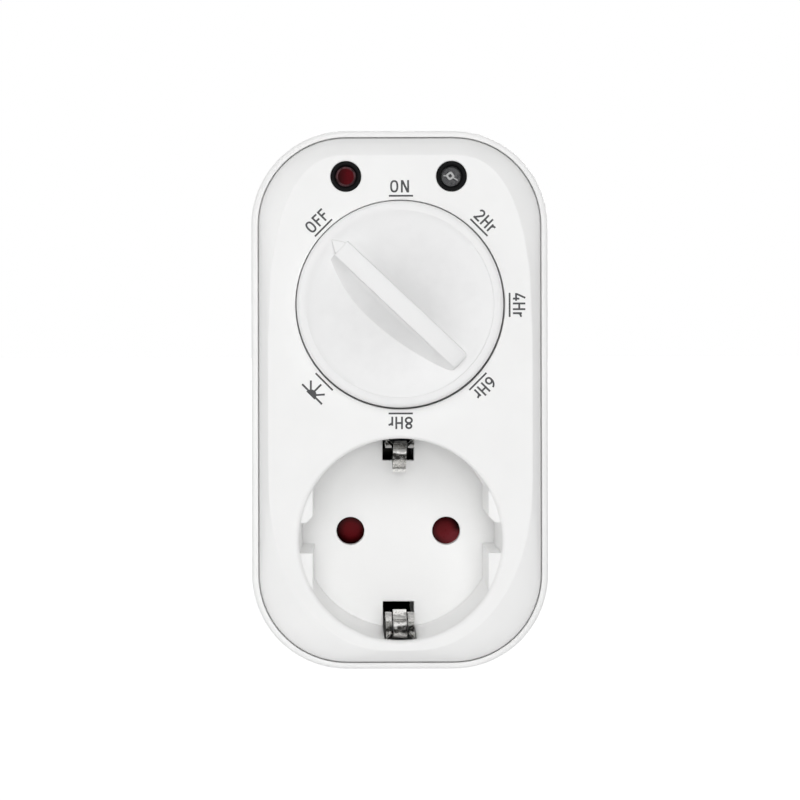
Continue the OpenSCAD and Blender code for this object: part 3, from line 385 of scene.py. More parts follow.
def printed_ink():
    """Pad-printed grey ink: slightly uneven cover and a satin face."""
    finish = Finish("printed_ink", Specular_IOR_Level=0.4)
    cover = finish.noise(0.35, detail=3.0)
    grey = finish.mottle(cover, (0.06, 0.06, 0.062), (0.085, 0.085, 0.088))
    return finish.covered(grey, cover, (0.45, 0.6), 0.004)


LENS_EDGE_R = (1.48, 1.62)  # between these radii a lens turns from its core to its rim's painted highlight


def cast_lens(name, x, core, rim, shadow, alpha=1.0):
    """Cast epoxy lens about an axis at x, with painted shade to the left, a painted highlight on its paler rim,
    and tinned leads.
    """
    finish = Finish(name, Specular_IOR_Level=0.06)
    across = finish.math("SUBTRACT", finish.axis("X"), x)
    radius = finish.distance(across, finish.math("SUBTRACT", finish.axis("Z"), LAMP_Z))
    swirl = finish.noise(0.8, detail=2.0)
    # painted shade: the resin darkens to the left
    resin = finish.mix(finish.spread(across, 0.0, 1.0, -1.3, 0.3), shade(core, shadow), core)
    resin = finish.mix(finish.spread(swirl, 0.0, 0.35), resin, shade(core, 0.4))
    # painted highlight: the paler rim at the lens's edge
    rim = finish.mix(finish.spread(swirl, 0.0, 1.0, 0.4, 0.62), shade(rim, 0.4), rim)
    lens = finish.mix(finish.spread(radius, 0.0, 1.0, *LENS_EDGE_R), resin, rim)
    lead = finish.math("GREATER_THAN", finish.axis("Y"), LENS_BACK_Y)
    finish.feed("Metallic", lead)
    if alpha < 1:
        finish.feed("Alpha", finish.math("MAXIMUM", lead, alpha))
    return finish.covered(finish.mix(lead, lens, STEEL), swirl, (0.16, 0.26), 0.02)


def sensor_chip():
    """Grey cell inside the sensor: mottled metal film with etched dark spots."""
    finish = Finish("sensor_chip", Specular_IOR_Level=0.3)
    cells = finish.noise(0.75, detail=1.0)
    film = finish.noise(0.3, detail=2.0)
    etched = finish.tones(cells, (0.34, (0.035, 0.035, 0.04)), (0.5, (0.13, 0.13, 0.135)))
    cell = finish.mix(finish.spread(film, 0.0, 0.4), etched, (0.19, 0.19, 0.2))
    return finish.covered(cell, film, (0.3, 0.5), 0.01)


WHITE = (0.92, 0.92, 0.915)
KNOB_WHITE = (0.885, 0.885, 0.885)
NYLON = (0.74, 0.73, 0.7)
BLACK = (0.006, 0.006, 0.0065)
SHUTTER_RED = (0.115, 0.004, 0.007)
NICKEL = (0.5, 0.49, 0.47)
BRASS = (0.75, 0.53, 0.22)
STEEL = (0.6, 0.61, 0.62)
LENGTHWAYS = (1.0, 30.0, 1.0)  # how metal's fine lines are stretched along each axis

shell = moulded("shell_abs", WHITE, 0.46, edge=0.3)
# the cover's recess walls are made paler by painted light
cover_abs = moulded(
    "cover_abs", WHITE, 0.44, edge=0.4, zone=(recess_light_and_polish, (0.985, 0.985, 0.98), 0.1)
)
# the knob's dish is darkened by painted shade around the bar
knob_abs = moulded(
    "knob_abs", KNOB_WHITE, 0.38, grain=0.4, depth=0.003, mottle=0.006,
    zone=(dish_painted_shade, (0.76, 0.76, 0.76), 0.06),
)
nylon = moulded("natural_nylon", NYLON, 0.5, grain=0.4)
black_abs = moulded("black_abs", BLACK, 0.42, mottle=0.2, Specular_IOR_Level=0.08)
# the second colour is the painted highlight on the shutter
red_nylon = shutter_nylon(SHUTTER_RED, (0.16, 0.014, 0.02))
clip_nickel = plate_with_painted_reflections("clip_nickel", (0.95, 0.94, 0.92), (0.03, 0.029, 0.027), 0.14)
nickel = worked_metal("nickel_plate", NICKEL, 0.2, lines=LENGTHWAYS)
turned_nickel = worked_metal("turned_nickel", NICKEL, 0.24, lines=(30.0, 1.0, 30.0), tarnish=0.1)
brass = worked_metal("stamped_brass", BRASS, 0.3, lines=LENGTHWAYS, tarnish=0.2)
steel = worked_metal("zinc_steel", STEEL, 0.3, tarnish=0.15)
bond_metal = moulded("bond_metal", (0.82, 0.82, 0.82), 0.35, grain=0.15, mottle=0.08)
ink = printed_ink()
# rim is the colour of each lens's painted highlight, and shadow the share left by its painted shade
red_epoxy = cast_lens(
    "red_epoxy", LED_X, core=(0.085, 0.001, 0.004), rim=(0.17, 0.085, 0.095), shadow=0.22
)
clear_epoxy = cast_lens(
    "clear_epoxy", SENSOR_X, core=(0.2, 0.2, 0.205), rim=(0.24, 0.24, 0.24), shadow=0.8, alpha=0.2
)

FINISHES = [
    (cover_abs, ["front_cover"]),
    (shell, ["rear_housing"]),
    (knob_abs, ["knob"]),
    (nylon, ["contact_carrier", "pin_retainer"]),
    (black_abs, ["switch_rotor", "switch_body", "timer_chip", "led_sleeve", "sensor_sleeve"]),
    (red_nylon, ["shutter"]),
    (clip_nickel, ["earth_bracket"]),
    (nickel, ["plug_earth_strip", "earth_pin_sleeve"]),
    (turned_nickel, ["plug_pin_live", "plug_pin_neutral"]),
    (brass, ["live_contact", "neutral_contact", "live_terminal", "switch_wiper"]),
    (steel, ["detent_balls", "detent_spring", "shutter_spring", "earth_spacer", "earth_rivet"]),
    (steel, ["housing_screws", "board_screws", "retainer_screw"]),
    (circuit_laminate(), ["main_board"]),
    (lacquered_bands(), ["board_resistors"]),
    (banded_diode(), ["rectifier_diodes"]),
    (sleeved_can("large_can", "smoothing_capacitor"), ["smoothing_capacitor"]),
    (sleeved_can("small_can", "filter_capacitor"), ["filter_capacitor"]),
    (moulded("relay_case", (0.01, 0.045, 0.24), 0.28, mottle=0.05), ["relay"]),
    (moulded("film_case", (0.55, 0.33, 0.02), 0.3, mottle=0.05), ["dropper_capacitor"]),
    (moulded("phenolic", (0.07, 0.02, 0.01), 0.4, mottle=0.2), ["fuse"]),
    (moulded("disc_coating", (0.02, 0.08, 0.25), 0.35, depth=0.03, mottle=0.1), ["varistor"]),
    (red_epoxy, ["indicator_led"]),
    (clear_epoxy, ["light_sensor"]),
    (cable_skin("brown_pvc", (0.08, 0.025, 0.01)), ["live_wire"]),
    (cable_skin("black_pvc", (0.012, 0.012, 0.012)), ["switched_wire"]),
    (cable_skin("blue_pvc", (0.01, 0.06, 0.36)), ["neutral_wire"]),
]


def dress(name, material):
    """Gives a CAD node its material."""
    mesh = nodes[name].data
    mesh.materials.clear()
    mesh.materials.append(material)


SAME = 0.99999  # two directions whose cosine is above this count as the same
SOFT_ANGLE = 30.0  # facets that meet at less than this many degrees are shaded as one surface


def soften(name):
    """Shades a node's lofted facets as one smooth surface. No vertex moves."""
    mesh = nodes[name].data
    corners = np.empty(len(mesh.loops), np.int32)
    mesh.loops.foreach_get("vertex_index", corners)
    places = np.empty(len(mesh.vertices) * 3, np.float32)
    mesh.vertices.foreach_get("co", places)
    places = places.reshape(-1, 3)
    normals = np.array([n.vector for n in mesh.corner_normals], float)
    faceted = {}
    for face in mesh.polygons:
        facing = np.array(face.normal)
        loops = list(face.loop_indices)
        square_on = abs(facing).max() > SAME
        flat = (normals[loops] @ facing).min() > SAME
        if flat and not square_on:
            for loop in loops:
                micrometres = tuple(np.round(places[corners[loop]] * 1e6).astype(int))
                faceted.setdefault(micrometres, []).append((loop, facing, face))
    limit = math.cos(math.radians(SOFT_ANGLE))
    for meeting in faceted.values():
        for loop, facing, _ in meeting:
            total = np.zeros(3)
            for _, other, face in meeting:
                if facing @ other > limit:
                    total += other * math.sqrt(face.area)
            normals[loop] = total / np.linalg.norm(total)
    mesh.normals_split_custom_set(normals.tolist())


LOFTED = ("front_cover", "detent_spring", "shutter_spring", "earth_bracket", "plug_earth_strip")

for finish_material, node_names in FINISHES:
    for node_name in node_names:
        dress(node_name, finish_material)
for node_name in LOFTED:
    soften(node_name)


# ---- pieces

def piece(name, points, faces, material, body, slot=None, smooth=None):
    """A mesh from points in millimetres, riding on a body."""
    mesh = bpy.data.meshes.new(name)
    mesh.from_pydata([Vector(p) * MM for p in points], [], faces)
    made = bmesh.new()
    made.from_mesh(mesh)
    bmesh.ops.recalc_face_normals(made, faces=made.faces)
    made.to_mesh(mesh)
    made.free()
    if smooth is not None:
        mesh.shade_smooth()
        mesh.set_sharp_from_angle(angle=math.radians(smooth))
    mesh.materials.append(material)
    made = show(name, mesh)
    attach(made, body)
    return made


def turned(x, z, degrees):
    """A point turned clockwise, as seen from the front."""
    c, s = math.cos(math.radians(degrees)), math.sin(math.radians(degrees))
    return c * x + s * z, c * z - s * x


def covers(polygon, point):
    """Whether a polygon holds a point."""
    inside = False
    for a, b in zip(polygon, [*polygon[1:], polygon[0]]):
        if (a[1] > point[1]) != (b[1] > point[1]):
            if point[0] < a[0] + (b[0] - a[0]) * (point[1] - a[1]) / (b[1] - a[1]):
                inside = not inside
    return inside


def centroid(points, triangle):
    """Middle of a triangle of point indices."""
    return sum((points[i] for i in triangle), Vector((0, 0))) / 3


def ring_faces(first, second, count):
    """Quads between two rings of count points that start at these indices."""
    return [
        (first + i, first + (i + 1) % count, second + (i + 1) % count, second + i)
        for i in range(count)
    ]


def prism(points, faces, low, high):
    """Adds a solid between two rings of as many corners."""
    first, count = len(points), len(low)
    points += [*low, *high]
    faces += [
        tuple(range(first, first + count)),
        tuple(range(first + count, first + 2 * count)),
        *ring_faces(first, first + count, count),
    ]


def around(radius, depth, count):
    """A ring of count points at a depth."""
    steps = [2 * math.pi * i / count for i in range(count)]
    return [(radius * math.cos(angle), depth, radius * math.sin(angle)) for angle in steps]


# ---- screws

TURN_STEPS = 24  # points around a head
THREAD_STEPS = 12  # points around a thread
PITCH = 1.1
NECK = 0.3  # plain shank under a head
BACKWARD, FORWARD = 1, -1


def cross_outline(reach, half):
    """The outline of a cross recess, as twelve points."""
    arm = [(half, half), (half, reach), (-half, reach)]
    quarter_turns = ((1, 0), (0, 1), (-1, 0), (0, -1))
    return [(x * c - z * s, x * s + z * c) for c, s in quarter_turns for x, z in arm]


def pan_head(radius, thick):
    """Points and faces of a pan head from its top at depth 0, with a tapered cross recess."""
    flat_r = 0.68 * radius
    dome = [(0.1, 0.86), (0.28, 0.97), (0.45, 1.0), (1.0, 1.0)]  # depth and radius as shares
    cross = cross_outline(0.5 * radius, 0.11 * radius)
    rim = [(x, z) for x, _, z in around(flat_r, 0.0, TURN_STEPS)]
    loops = [
        list(range(TURN_STEPS)),
        list(range(TURN_STEPS, TURN_STEPS + len(cross)))[::-1],
    ]
    corners = [Vector(p) for p in rim + cross]
    top, _, triangles, *_ = geometry.delaunay_2d_cdt(corners, [], loops, 1, 1e-4)
    points = [(p[0], 0.0, p[1]) for p in top]
    faces = [tuple(t) for t in triangles if not covers(cross, centroid(top, t))]
    floor = len(points)
    points += [(0.45 * x, 0.6 * thick, 0.45 * z) for x, z in cross]
    faces += ring_faces(TURN_STEPS, floor, len(cross))
    faces.append(tuple(range(floor, floor + len(cross))))
    last = 0
    for depth, share in dome:
        faces += ring_faces(last, len(points), TURN_STEPS)
        last = len(points)
        points += around(share * radius, depth * thick, TURN_STEPS)
    faces.append(tuple(range(last, last + TURN_STEPS)))
    return points, faces


def thread(radius, start, end):
    """Points and faces of a shank whose ridge climbs along one helix, with a neck and a tip."""
    core = 0.8 * radius
    profile = [core, core, radius, core]  # one pitch of the ridge
    per_turn = len(profile)
    rows = int(per_turn * (end - start) / PITCH) - per_turn
    points, faces = [], []
    for row in range(rows):
        plain = row < per_turn or row > rows - per_turn - 2
        wide = core if plain else profile[row % per_turn]
        for i in range(THREAD_STEPS):
            turn = i / THREAD_STEPS
            depth = start + (row / per_turn + turn) * PITCH
            angle = 2 * math.pi * turn
            points.append((wide * math.cos(angle), depth, wide * math.sin(angle)))
    for row in range(rows - 1):
        for i in range(THREAD_STEPS):
            here = row * THREAD_STEPS + i
            up = here + THREAD_STEPS
            if i + 1 < THREAD_STEPS:
                faces.append((here, here + 1, up + 1, up))
            elif row + per_turn + 1 < rows:
                onward = (row + per_turn) * THREAD_STEPS
                faces.append((here, onward, onward + THREAD_STEPS, up))
    first_turn = list(range(THREAD_STEPS))
    last_turn = list(range((rows - 1) * THREAD_STEPS, rows * THREAD_STEPS))
    first_seam = [row * THREAD_STEPS for row in range(per_turn, 0, -1)]
    last_seam = [(rows - row) * THREAD_STEPS - 1 for row in range(1, per_turn + 1)]
    faces += [tuple(first_turn + first_seam), tuple(last_turn + last_seam)]
    neck = (start - NECK, start + PITCH, core)
    tip = (end - 1.6 * PITCH, end, 0.45 * core)
    for near, far, far_r in (neck, tip):
        prism(points, faces, around(core, near, THREAD_STEPS), around(far_r, far, THREAD_STEPS))
    return points, faces


def screws(name, node, spots, top_y, toward, head, shank_r, length):
    """Cross-head screws with their tops at top_y. head is the radius and thickness of a head."""
    head_points, head_faces = pan_head(*head)
    shank_points, shank_faces = thread(shank_r, head[1] + NECK, length)
    points, faces = [], []
    for x, z in spots:
        for part_points, part_faces in ((head_points, head_faces), (shank_points, shank_faces)):
            first = len(points)
            points += [(x + p[0], top_y + toward * p[1], z + p[2]) for p in part_points]
            faces += [tuple(i + first for i in face) for face in part_faces]
    made = piece(name, points, faces, steel, "case", "steel", smooth=35.0)
    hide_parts(node)


# ---- dial knob

KNOB_LOW, KNOB_HIGH = box("knob")
BAR_Y = KNOB_LOW[1]  # front of the finger bar, at its middle
KNOB_BACK_Y = KNOB_HIGH[1]
KNOB_R = -KNOB_LOW[0]
KNOB_WALL = 1.8
KNOB_STEPS = 96  # points around the knob,
RING_STEPS = 60  # and around a ring in its dish
RIM_Y = -59.6  # front of the knob's rim
RIM_ROUND = 1.0
RIM_STEP = 0.16  # drop from the rim to the dish's edge
LEAN = (-0.01, 0.135)  # how far the rim is off the dial's axis, in the bar's frame

DISH_R = 17.6
DISH_DEPTH = 2.6
DISH_SPHERE_R = (DISH_R ** 2 + DISH_DEPTH ** 2) / (2 * DISH_DEPTH)
DISH_RINGS = (16.6, 15.4, 13.6, 11.5, 9.0, 6.5)  # radii of the dish's inner points,
DISH_GAPS = (0.6, 0.8)  # which stay this far from the bar's ends and from its scoop

BAR_TURN = -46.6  # degrees from straight up, clockwise
BAR_HALF = 1.85
BAR_END = 15.5  # the bar's upper end
BAR_STEP = 1.4  # between points along the bar
BAR_EDGE = ((0.0, 0.4), (0.1, 0.14), (0.36, 0.0))  # inset from the bar's side, and drop
BAR_DRAFT = 0.05  # the bar is this much wider at its foot
CROWN_R = 96.0  # the bar's front bulges by this radius

SCOOP_EDGE = 0.7  # width of the thumb scoop's slope at its ends
SCOOP_BULGE = 3.35  # how much wider it is at its middle
SCOOP_MIDDLE = 3.0
SCOOP_REACH = (19.0, 13.0)  # from its middle down and up the bar
SCOOP_TOP = 0.25  # share of the bar's height that stands above the slope

SWELL = 2.9  # how far the dish rises to the bar's right side
SWELL_REACH = 7.5
SWELL_END = BAR_END + 1.0
SWELL_ROWS = (0.8, 1.7, 2.8, 4.1, 5.6)  # distances of the swell's points from the bar,
SWELL_STEP = 1.3  # and between them along it
SWELL_R = 15.9  # no point of the swell lies past this radius

HUB_R = 5.0
BORE_R = 2.55
BORE_FLAT = 1.95  # from the axis to the bore's flat side
BORE_END_Y = -58.7
CEILING_Y = RIM_Y + KNOB_WALL + 0.4  # no part of the hollow is further forward than this
HOLLOW_RINGS = (16.2, 13.0, 9.0, HUB_R)
RIB_HALF = 0.6
RIB_ENDS = (4.0, 18.4)
RIB_Y = (-56.4, KNOB_BACK_Y - 1.0)
POINTER_HALF = 1.3
POINTER_ENDS = (15.0, 15.8, 17.9)  # the pointer's foot, its shoulders and its tip
POINTER_Y = (-60.7, -59.9, -57.2)  # its front, the front of its tip and its back


def dish_y(radius, behind=0.0):
    """Depth of the dish at a radius, or of a surface behind it."""
    sphere_r = DISH_SPHERE_R + behind
    return RIM_Y + DISH_DEPTH - DISH_SPHERE_R + math.sqrt(sphere_r ** 2 - radius ** 2)


def scoop(along):
    """Width of the thumb scoop's slope on the bar's left side."""
    reach = SCOOP_REACH[along > SCOOP_MIDDLE]
    return SCOOP_EDGE + SCOOP_BULGE * (1 - ((along - SCOOP_MIDDLE) / reach) ** 2)


def floor_y(x, z):
    """Depth of the dish's floor, which rises softly to the right side of the bar."""
    flat = dish_y(min(math.hypot(x, z), DISH_R)) + RIM_STEP
    away = max(0.0, x - BAR_HALF) / SWELL_REACH
    if x <= 0.0 or away >= 1.0 or abs(z) >= SWELL_END:
        return flat
    return flat - SWELL * (1 - away) ** 2 * (1 - (z / SWELL_END) ** 2)


def bar_stations():
    """Places along the bar, from its rounded lower end, with their share of its width and drop."""
    ends = [(-15.75, 0.72, 0.85), (-15.5, 0.88, 0.6), (-15.0, 0.97, 0.42)]
    slope = [0.3 * max(0.0, (4 - i) / 4) ** 2 for i in range(21)]
    run = [(BAR_STEP * (i - 10), 1.0, drop) for i, drop in enumerate(slope)]
    return [*ends, *run, (BAR_END, 1.0, 0.0)]


def finger_bar():
    """Points and faces of the bar on the dish, and the closed line of its foot as point indices."""
    points, faces = [], []
    across = 2 * len(BAR_EDGE) + 3
    stations = bar_stations()
    for along, share, drop in stations:
        half = BAR_HALF * share
        top = BAR_Y + along ** 2 / (2 * CROWN_R) + drop
        left, right = -half - scoop(along), half + BAR_DRAFT
        low = floor_y(left, along)
        section = [(left, low), (-half - BAR_DRAFT, top + SCOOP_TOP * (low - top))]
        section += [(inset - half, top + down) for inset, down in BAR_EDGE]
        section += [(half - inset, top + down) for inset, down in reversed(BAR_EDGE)]
        section.append((right, floor_y(right, along)))
        points += [(x, y, along) for x, y in section]
    last = len(points) - across
    for first in range(0, last, across):
        for i in range(first, first + across - 1):
            faces.append((i, i + 1, i + across + 1, i + across))
    faces += [tuple(range(across)), tuple(range(last, last + across))]
    left_foot = list(range(0, last + 1, across))
    right_foot = [i + across - 1 for i in reversed(left_foot)]
    return points, faces, left_foot + right_foot


def dish_spots(foot):
    """Points of the dish: its edge, the foot of the bar, rings around it and rows on its swell."""
    spots = [(x, z) for x, _, z in around(DISH_R, 0.0, KNOB_STEPS)] + foot
    for radius in DISH_RINGS:
        for x, _, z in around(radius, 0.0, RING_STEPS):
            past_end = abs(z) > BAR_END + DISH_GAPS[0]
            past_scoop = x < -BAR_HALF - scoop(z) - DISH_GAPS[1]
            past_swell = x > BAR_HALF + SWELL_REACH
            if past_end or past_scoop or past_swell:
                spots.append((x, z))
    for out in SWELL_ROWS:
        for step in range(-11, 12):
            x, z = BAR_HALF + out, SWELL_STEP * step
            if math.hypot(x, z) < SWELL_R:
                spots.append((x, z))
    return spots


def add_dish(points, faces, foot):
    """Adds the dish around the bar's foot, and returns where its edge's points start."""
    rim = list(range(KNOB_STEPS))
    hole = list(range(KNOB_STEPS, KNOB_STEPS + len(foot)))
    edges = [(a, b) for loop in (rim, hole) for a, b in zip(loop, [*loop[1:], loop[0]])]
    spots = [Vector(p) for p in dish_spots(foot)]
    flat, _, triangles, *_ = geometry.delaunay_2d_cdt(spots, edges, [], 0, 1e-5)
    start = len(points)
    points += [(p[0], floor_y(*p), p[1]) for p in flat]
    for triangle in triangles:
        if not covers(foot, centroid(flat, triangle)):
            faces.append(tuple(start + i for i in triangle))
    return start


def add_shell(points, faces, edge):
    """Adds the rim, wall, hollow back, hub and keyed bore, as rings from the dish's edge."""
    wall_r = KNOB_R - KNOB_WALL
    rings = [(DISH_R + RIM_STEP, RIM_Y)]
    for degrees in range(0, 91, 15):
        angle = math.radians(degrees)
        rings.append((
            KNOB_R - RIM_ROUND * (1 - math.sin(angle)),
            RIM_Y + RIM_ROUND * (1 - math.cos(angle)),
        ))
    rings += [(KNOB_R, KNOB_BACK_Y), (wall_r, KNOB_BACK_Y), (wall_r, CEILING_Y)]
    rings += [(radius, max(CEILING_Y, dish_y(radius, KNOB_WALL))) for radius in HOLLOW_RINGS]
    rings += [(HUB_R, KNOB_BACK_Y), (BORE_R, KNOB_BACK_Y), (BORE_R, BORE_END_Y)]
    last = edge
    for radius, y in rings:
        faces += ring_faces(last, len(points), KNOB_STEPS)
        last = len(points)
        keyed = BORE_FLAT if radius == BORE_R else radius
        dx, dz = LEAN if radius > DISH_R else (0.0, 0.0)
        points += [(x + dx, y, min(z, keyed) + dz) for x, _, z in around(radius, y, KNOB_STEPS)]
    faces.append(tuple(range(last, last + KNOB_STEPS)))


def add_ribs(points, faces):
    """Adds six ribs from the hub to the wall."""
    near, far = RIB_ENDS
    strip = [(-RIB_HALF, near), (RIB_HALF, near), (RIB_HALF, far), (-RIB_HALF, far)]
    for turn in range(0, 360, 60):
        corners = [turned(x, z, turn) for x, z in strip]
        prism(points, faces, *[[(x, y, z) for x, z in corners] for y in RIB_Y])


def add_pointer(points, faces):
    """Adds the pointer past the bar's end, whose front falls towards its tip."""
    foot, shoulder, tip = POINTER_ENDS
    front_y, tip_y, back_y = POINTER_Y
    half = POINTER_HALF
    outline = [(-half, foot), (half, foot), (half, shoulder), (0.0, tip), (-half, shoulder)]
    front = [(x, tip_y if z == tip else front_y, z) for x, z in outline]
    prism(points, faces, front, [(x, back_y, z) for x, z in outline])


def dial_knob():
    """Dished knob with a finger bar and pointer, and a hollow back with ribs and a keyed hub."""
    points, faces, foot = finger_bar()
    edge = add_dish(points, faces, [(points[i][0], points[i][2]) for i in foot])
    add_shell(points, faces, edge)
    add_ribs(points, faces)
    add_pointer(points, faces)
    placed = []
    for x, y, z in points:
        across, up = turned(x, z, BAR_TURN)
        placed.append((across, y, DIAL_Z + up))
    made = piece("dial_knob", placed, faces, knob_abs, "dial", "white_knob", smooth=32.0)
    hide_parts("knob")


# ---- inside the sensor

CELL_R = 1.8
CELL_Y = (-55.0, -54.6)
FRAME_Y = (-55.9, -55.6)
FRAME_MIDDLE = (SENSOR_X - 0.19, LAMP_Z + 0.14)
FRAME_TURN = -38.0
FRAME_SIZE = (0.68, 0.36)  # half its side, and its corners' radius
WINDOW_SIZE = (0.3, 0.14)
LEG_START = 0.6
LEG_Y = (-55.8, -55.6)
LEGS = ((30.0, 1.7), (-178.0, 1.3))  # clockwise turn from straight right, and reach


def rounded_square(half, corner, steps=4):
    """Points around a square with rounded corners, turned as the frame is."""
    points = []
    for quarter, (sx, sz) in enumerate(((1, 1), (-1, 1), (-1, -1), (1, -1))):
        for i in range(steps + 1):
            angle = math.pi / 2 * (quarter + i / steps)
            x = sx * (half - corner) + corner * math.cos(angle)
            z = sz * (half - corner) + corner * math.sin(angle)
            points.append(turned(x, z, FRAME_TURN))
    return points


def plate(name, outlines, depths, material, slot):
    """Flat plates between two depths: each outline is a convex ring of (x, z)."""
    points, faces = [], []
    for outline in outlines:
        prism(points, faces, *[[(x, y, z) for x, z in outline] for y in depths])
    piece(name, points, faces, material, "case", slot)


def sensor_inside():
    """The grey cell, its bright bonded frame with a dark window, and two legs of the frame."""
    disc = [(SENSOR_X + x, LAMP_Z + z) for x, _, z in around(CELL_R, 0.0, 40)]
    plate("sensor_cell", [disc], CELL_Y, sensor_chip(), "clear_lens")

    cx, cz = FRAME_MIDDLE
    rings = [rounded_square(*FRAME_SIZE), rounded_square(*WINDOW_SIZE)]
    count = len(rings[0])
    points = [(cx + x, y, cz + z) for y in FRAME_Y for ring in rings for x, z in ring]
    faces = ring_faces(0, count, count) + ring_faces(2 * count, 3 * count, count)
    faces += ring_faces(0, 2 * count, count) + ring_faces(count, 3 * count, count)
    piece("sensor_frame", points, faces, bond_metal, "case", "steel", smooth=35.0)

    legs = []
    for turn, reach in LEGS:
        strip = [(LEG_START, -0.12), (reach, -0.1), (reach, 0.1), (LEG_START, 0.12)]
        corners = [turned(x, z, turn) for x, z in strip]
        legs.append([(cx + x, cz + z) for x, z in corners])
    plate("sensor_legs", legs, LEG_Y, bond_metal, "steel")


screws(
    "housing_cross_screws", "housing_screws", [(x, z) for x in (-19.6, 19.6) for z in (-15.9, 68.9)],
    top_y=-26.0, toward=FORWARD, head=(2.5, 2.0), shank_r=1.3, length=20.0,
)
screws(
    "board_cross_screws", "board_screws", [(x, z) for x in (-20.8, 20.8) for z in (27.2, 61.0)],
    top_y=-40.0, toward=FORWARD, head=(2.1, 1.4), shank_r=1.15, length=9.0,
)
screws(
    "retainer_cross_screw", "retainer_screw", [(0.0, -6.0)],
    top_y=-9.0, toward=BACKWARD, head=(2.1, 1.4), shank_r=0.95, length=7.6,
)
dial_knob()
sensor_inside()


# ---- printed scale of the dial

CAP = 2.35  # height of a capital
STROKE = 0.355  # width of a stroke
TICK_R = 20.7
TICK_SIZE = (4.6, 0.33)
BASELINE_R = 21.33
INK_T = 0.02  # height of the ink above the face
INK_SUNK = 0.02


def arc(centre, radii, start, end, steps=16, power=2.0):
    """Points of a superellipse from one angle to another, in degrees."""
    points = []
    for i in range(steps + 1):
        angle = math.radians(start + (end - start) * i / steps)
        c, s = math.cos(angle), math.sin(angle)
        points.append((
            centre[0] + radii[0] * math.copysign(abs(c) ** (2 / power), c),
            centre[1] + radii[1] * math.copysign(abs(s) ** (2 / power), s),
        ))
    return points


def stroke(path, width=STROKE):
    """Quads that cover a line of even width along a path, closed if it ends where it starts."""
    points = [Vector(p) for p in path]
    closed = (points[0] - points[-1]).length < 1e-6
    if closed:
        points.pop()
    count = len(points)

    def direction(i):
        return (points[(i + 1) % count] - points[i % count]).normalized()

    edges = []
    for i, point in enumerate(points):
        before = direction(i - 1) if closed or i > 0 else direction(i)
        after = direction(i) if closed or i < count - 1 else direction(i - 1)
        side = Vector((-before.y - after.y, before.x + after.x))
        side = side * (width / (side @ Vector((-after.y, after.x)))) / 2
        edges.append((point - side, point + side))
    last = count if closed else count - 1
    return [
        (edges[i][0], edges[(i + 1) % count][0], edges[(i + 1) % count][1], edges[i][1])
        for i in range(last)
    ]


HALF = STROKE / 2  # from a glyph's edge to the centre line of its stroke


def stem(x=HALF, top=CAP):
    """An upright stroke."""
    return stroke([(x, 0), (x, top)])


def bar(start, end, level):
    """A level stroke."""
    return stroke([(start, level), (end, level)])


def bowl(across, up, half_wide, half_high, steps=28, power=2.0):
    """A closed round stroke."""
    return stroke(arc((across, up), (half_wide - HALF, half_high - HALF), 0, 360, steps, power))


R_ARM = [(HALF, 1.08)] + arc((0.86, 0.93), (0.86 - HALF, 0.6), 150, 88, 8)
TWO_TOP = arc((0.7, 1.63), (0.7 - HALF, CAP - 1.63 - HALF), 168, -28, 20) + [(0.24, HALF + 0.02)]
SIX_STEM = [(HALF, 0.76)] + arc((1.2, 0.95), (1.2 - HALF, CAP - 0.95 - HALF), 178, 100, 12)

GLYPHS = {  # polygons and width of each letter and figure
    "O": (bowl(0.775, CAP / 2, 0.775, CAP / 2, steps=40, power=2.5), 1.55),
    "N": (stem() + stem(1.55 - HALF) + [[(0, CAP), (0.43, CAP), (1.55, 0), (1.12, 0)]], 1.55),
    "F": (stem() + bar(0, 1.2, CAP - HALF) + bar(0, 1.04, 1.2), 1.2),
    "H": (stem() + stem(1.44 - HALF) + bar(0, 1.44, 1.2), 1.44),
    "r": (stem(top=1.7) + stroke(R_ARM), 0.87),
    "2": (stroke(TWO_TOP) + bar(0.02, 1.4, HALF), 1.4),
    "4": (stroke([(0.93, CAP), (0.16, 0.66)]) + bar(0.02, 1.5, 0.6) + stem(1.08, 1.22), 1.5),
    "6": (bowl(0.71, 0.76, 0.71, 0.76) + stroke(SIX_STEM), 1.42),
    "8": (bowl(0.765, 0.68, 0.765, 0.68) + bowl(0.765, 1.765, 0.67, 0.585), 1.53),
}


def word(letters, gaps, shift=0.0):
    """Polygons of a word, centred on 0 and standing on the baseline."""
    polygons, x = [], 0.0
    for letter, gap in zip(letters, [*gaps, 0.0]):
        shapes, wide = GLYPHS[letter]
        polygons += [[(p[0] + x, p[1]) for p in shape] for shape in shapes]
        x += wide + gap
    centre = (x - gap) / 2 - shift
    return [[(p[0] - centre, p[1] + BASELINE_R) for p in shape] for shape in polygons]


def setting_sun():
    """Half a sun on a horizon, upside down, with three rays."""
    disc = [arc((0, TICK_R + 3.7), (1.08, 1.2), 180, 360, 24)]
    lines = [
        [(-2.73, 3.33), (2.64, 3.28)],
        [(0.6, 3.0), (1.96, 1.62)],
        [(0.02, 2.9), (0.03, 0.75)],
        [(-0.6, 3.0), (-1.8, 1.64)],
    ]
    lifted = [[(x, TICK_R + up) for x, up in line] for line in lines]
    return disc + [quad for line in lifted for quad in stroke(line, 0.36)]


def tick():
    """The line under a setting."""
    wide, high = TICK_SIZE
    return stroke([(-wide / 2, TICK_R), (wide / 2, TICK_R)], high)


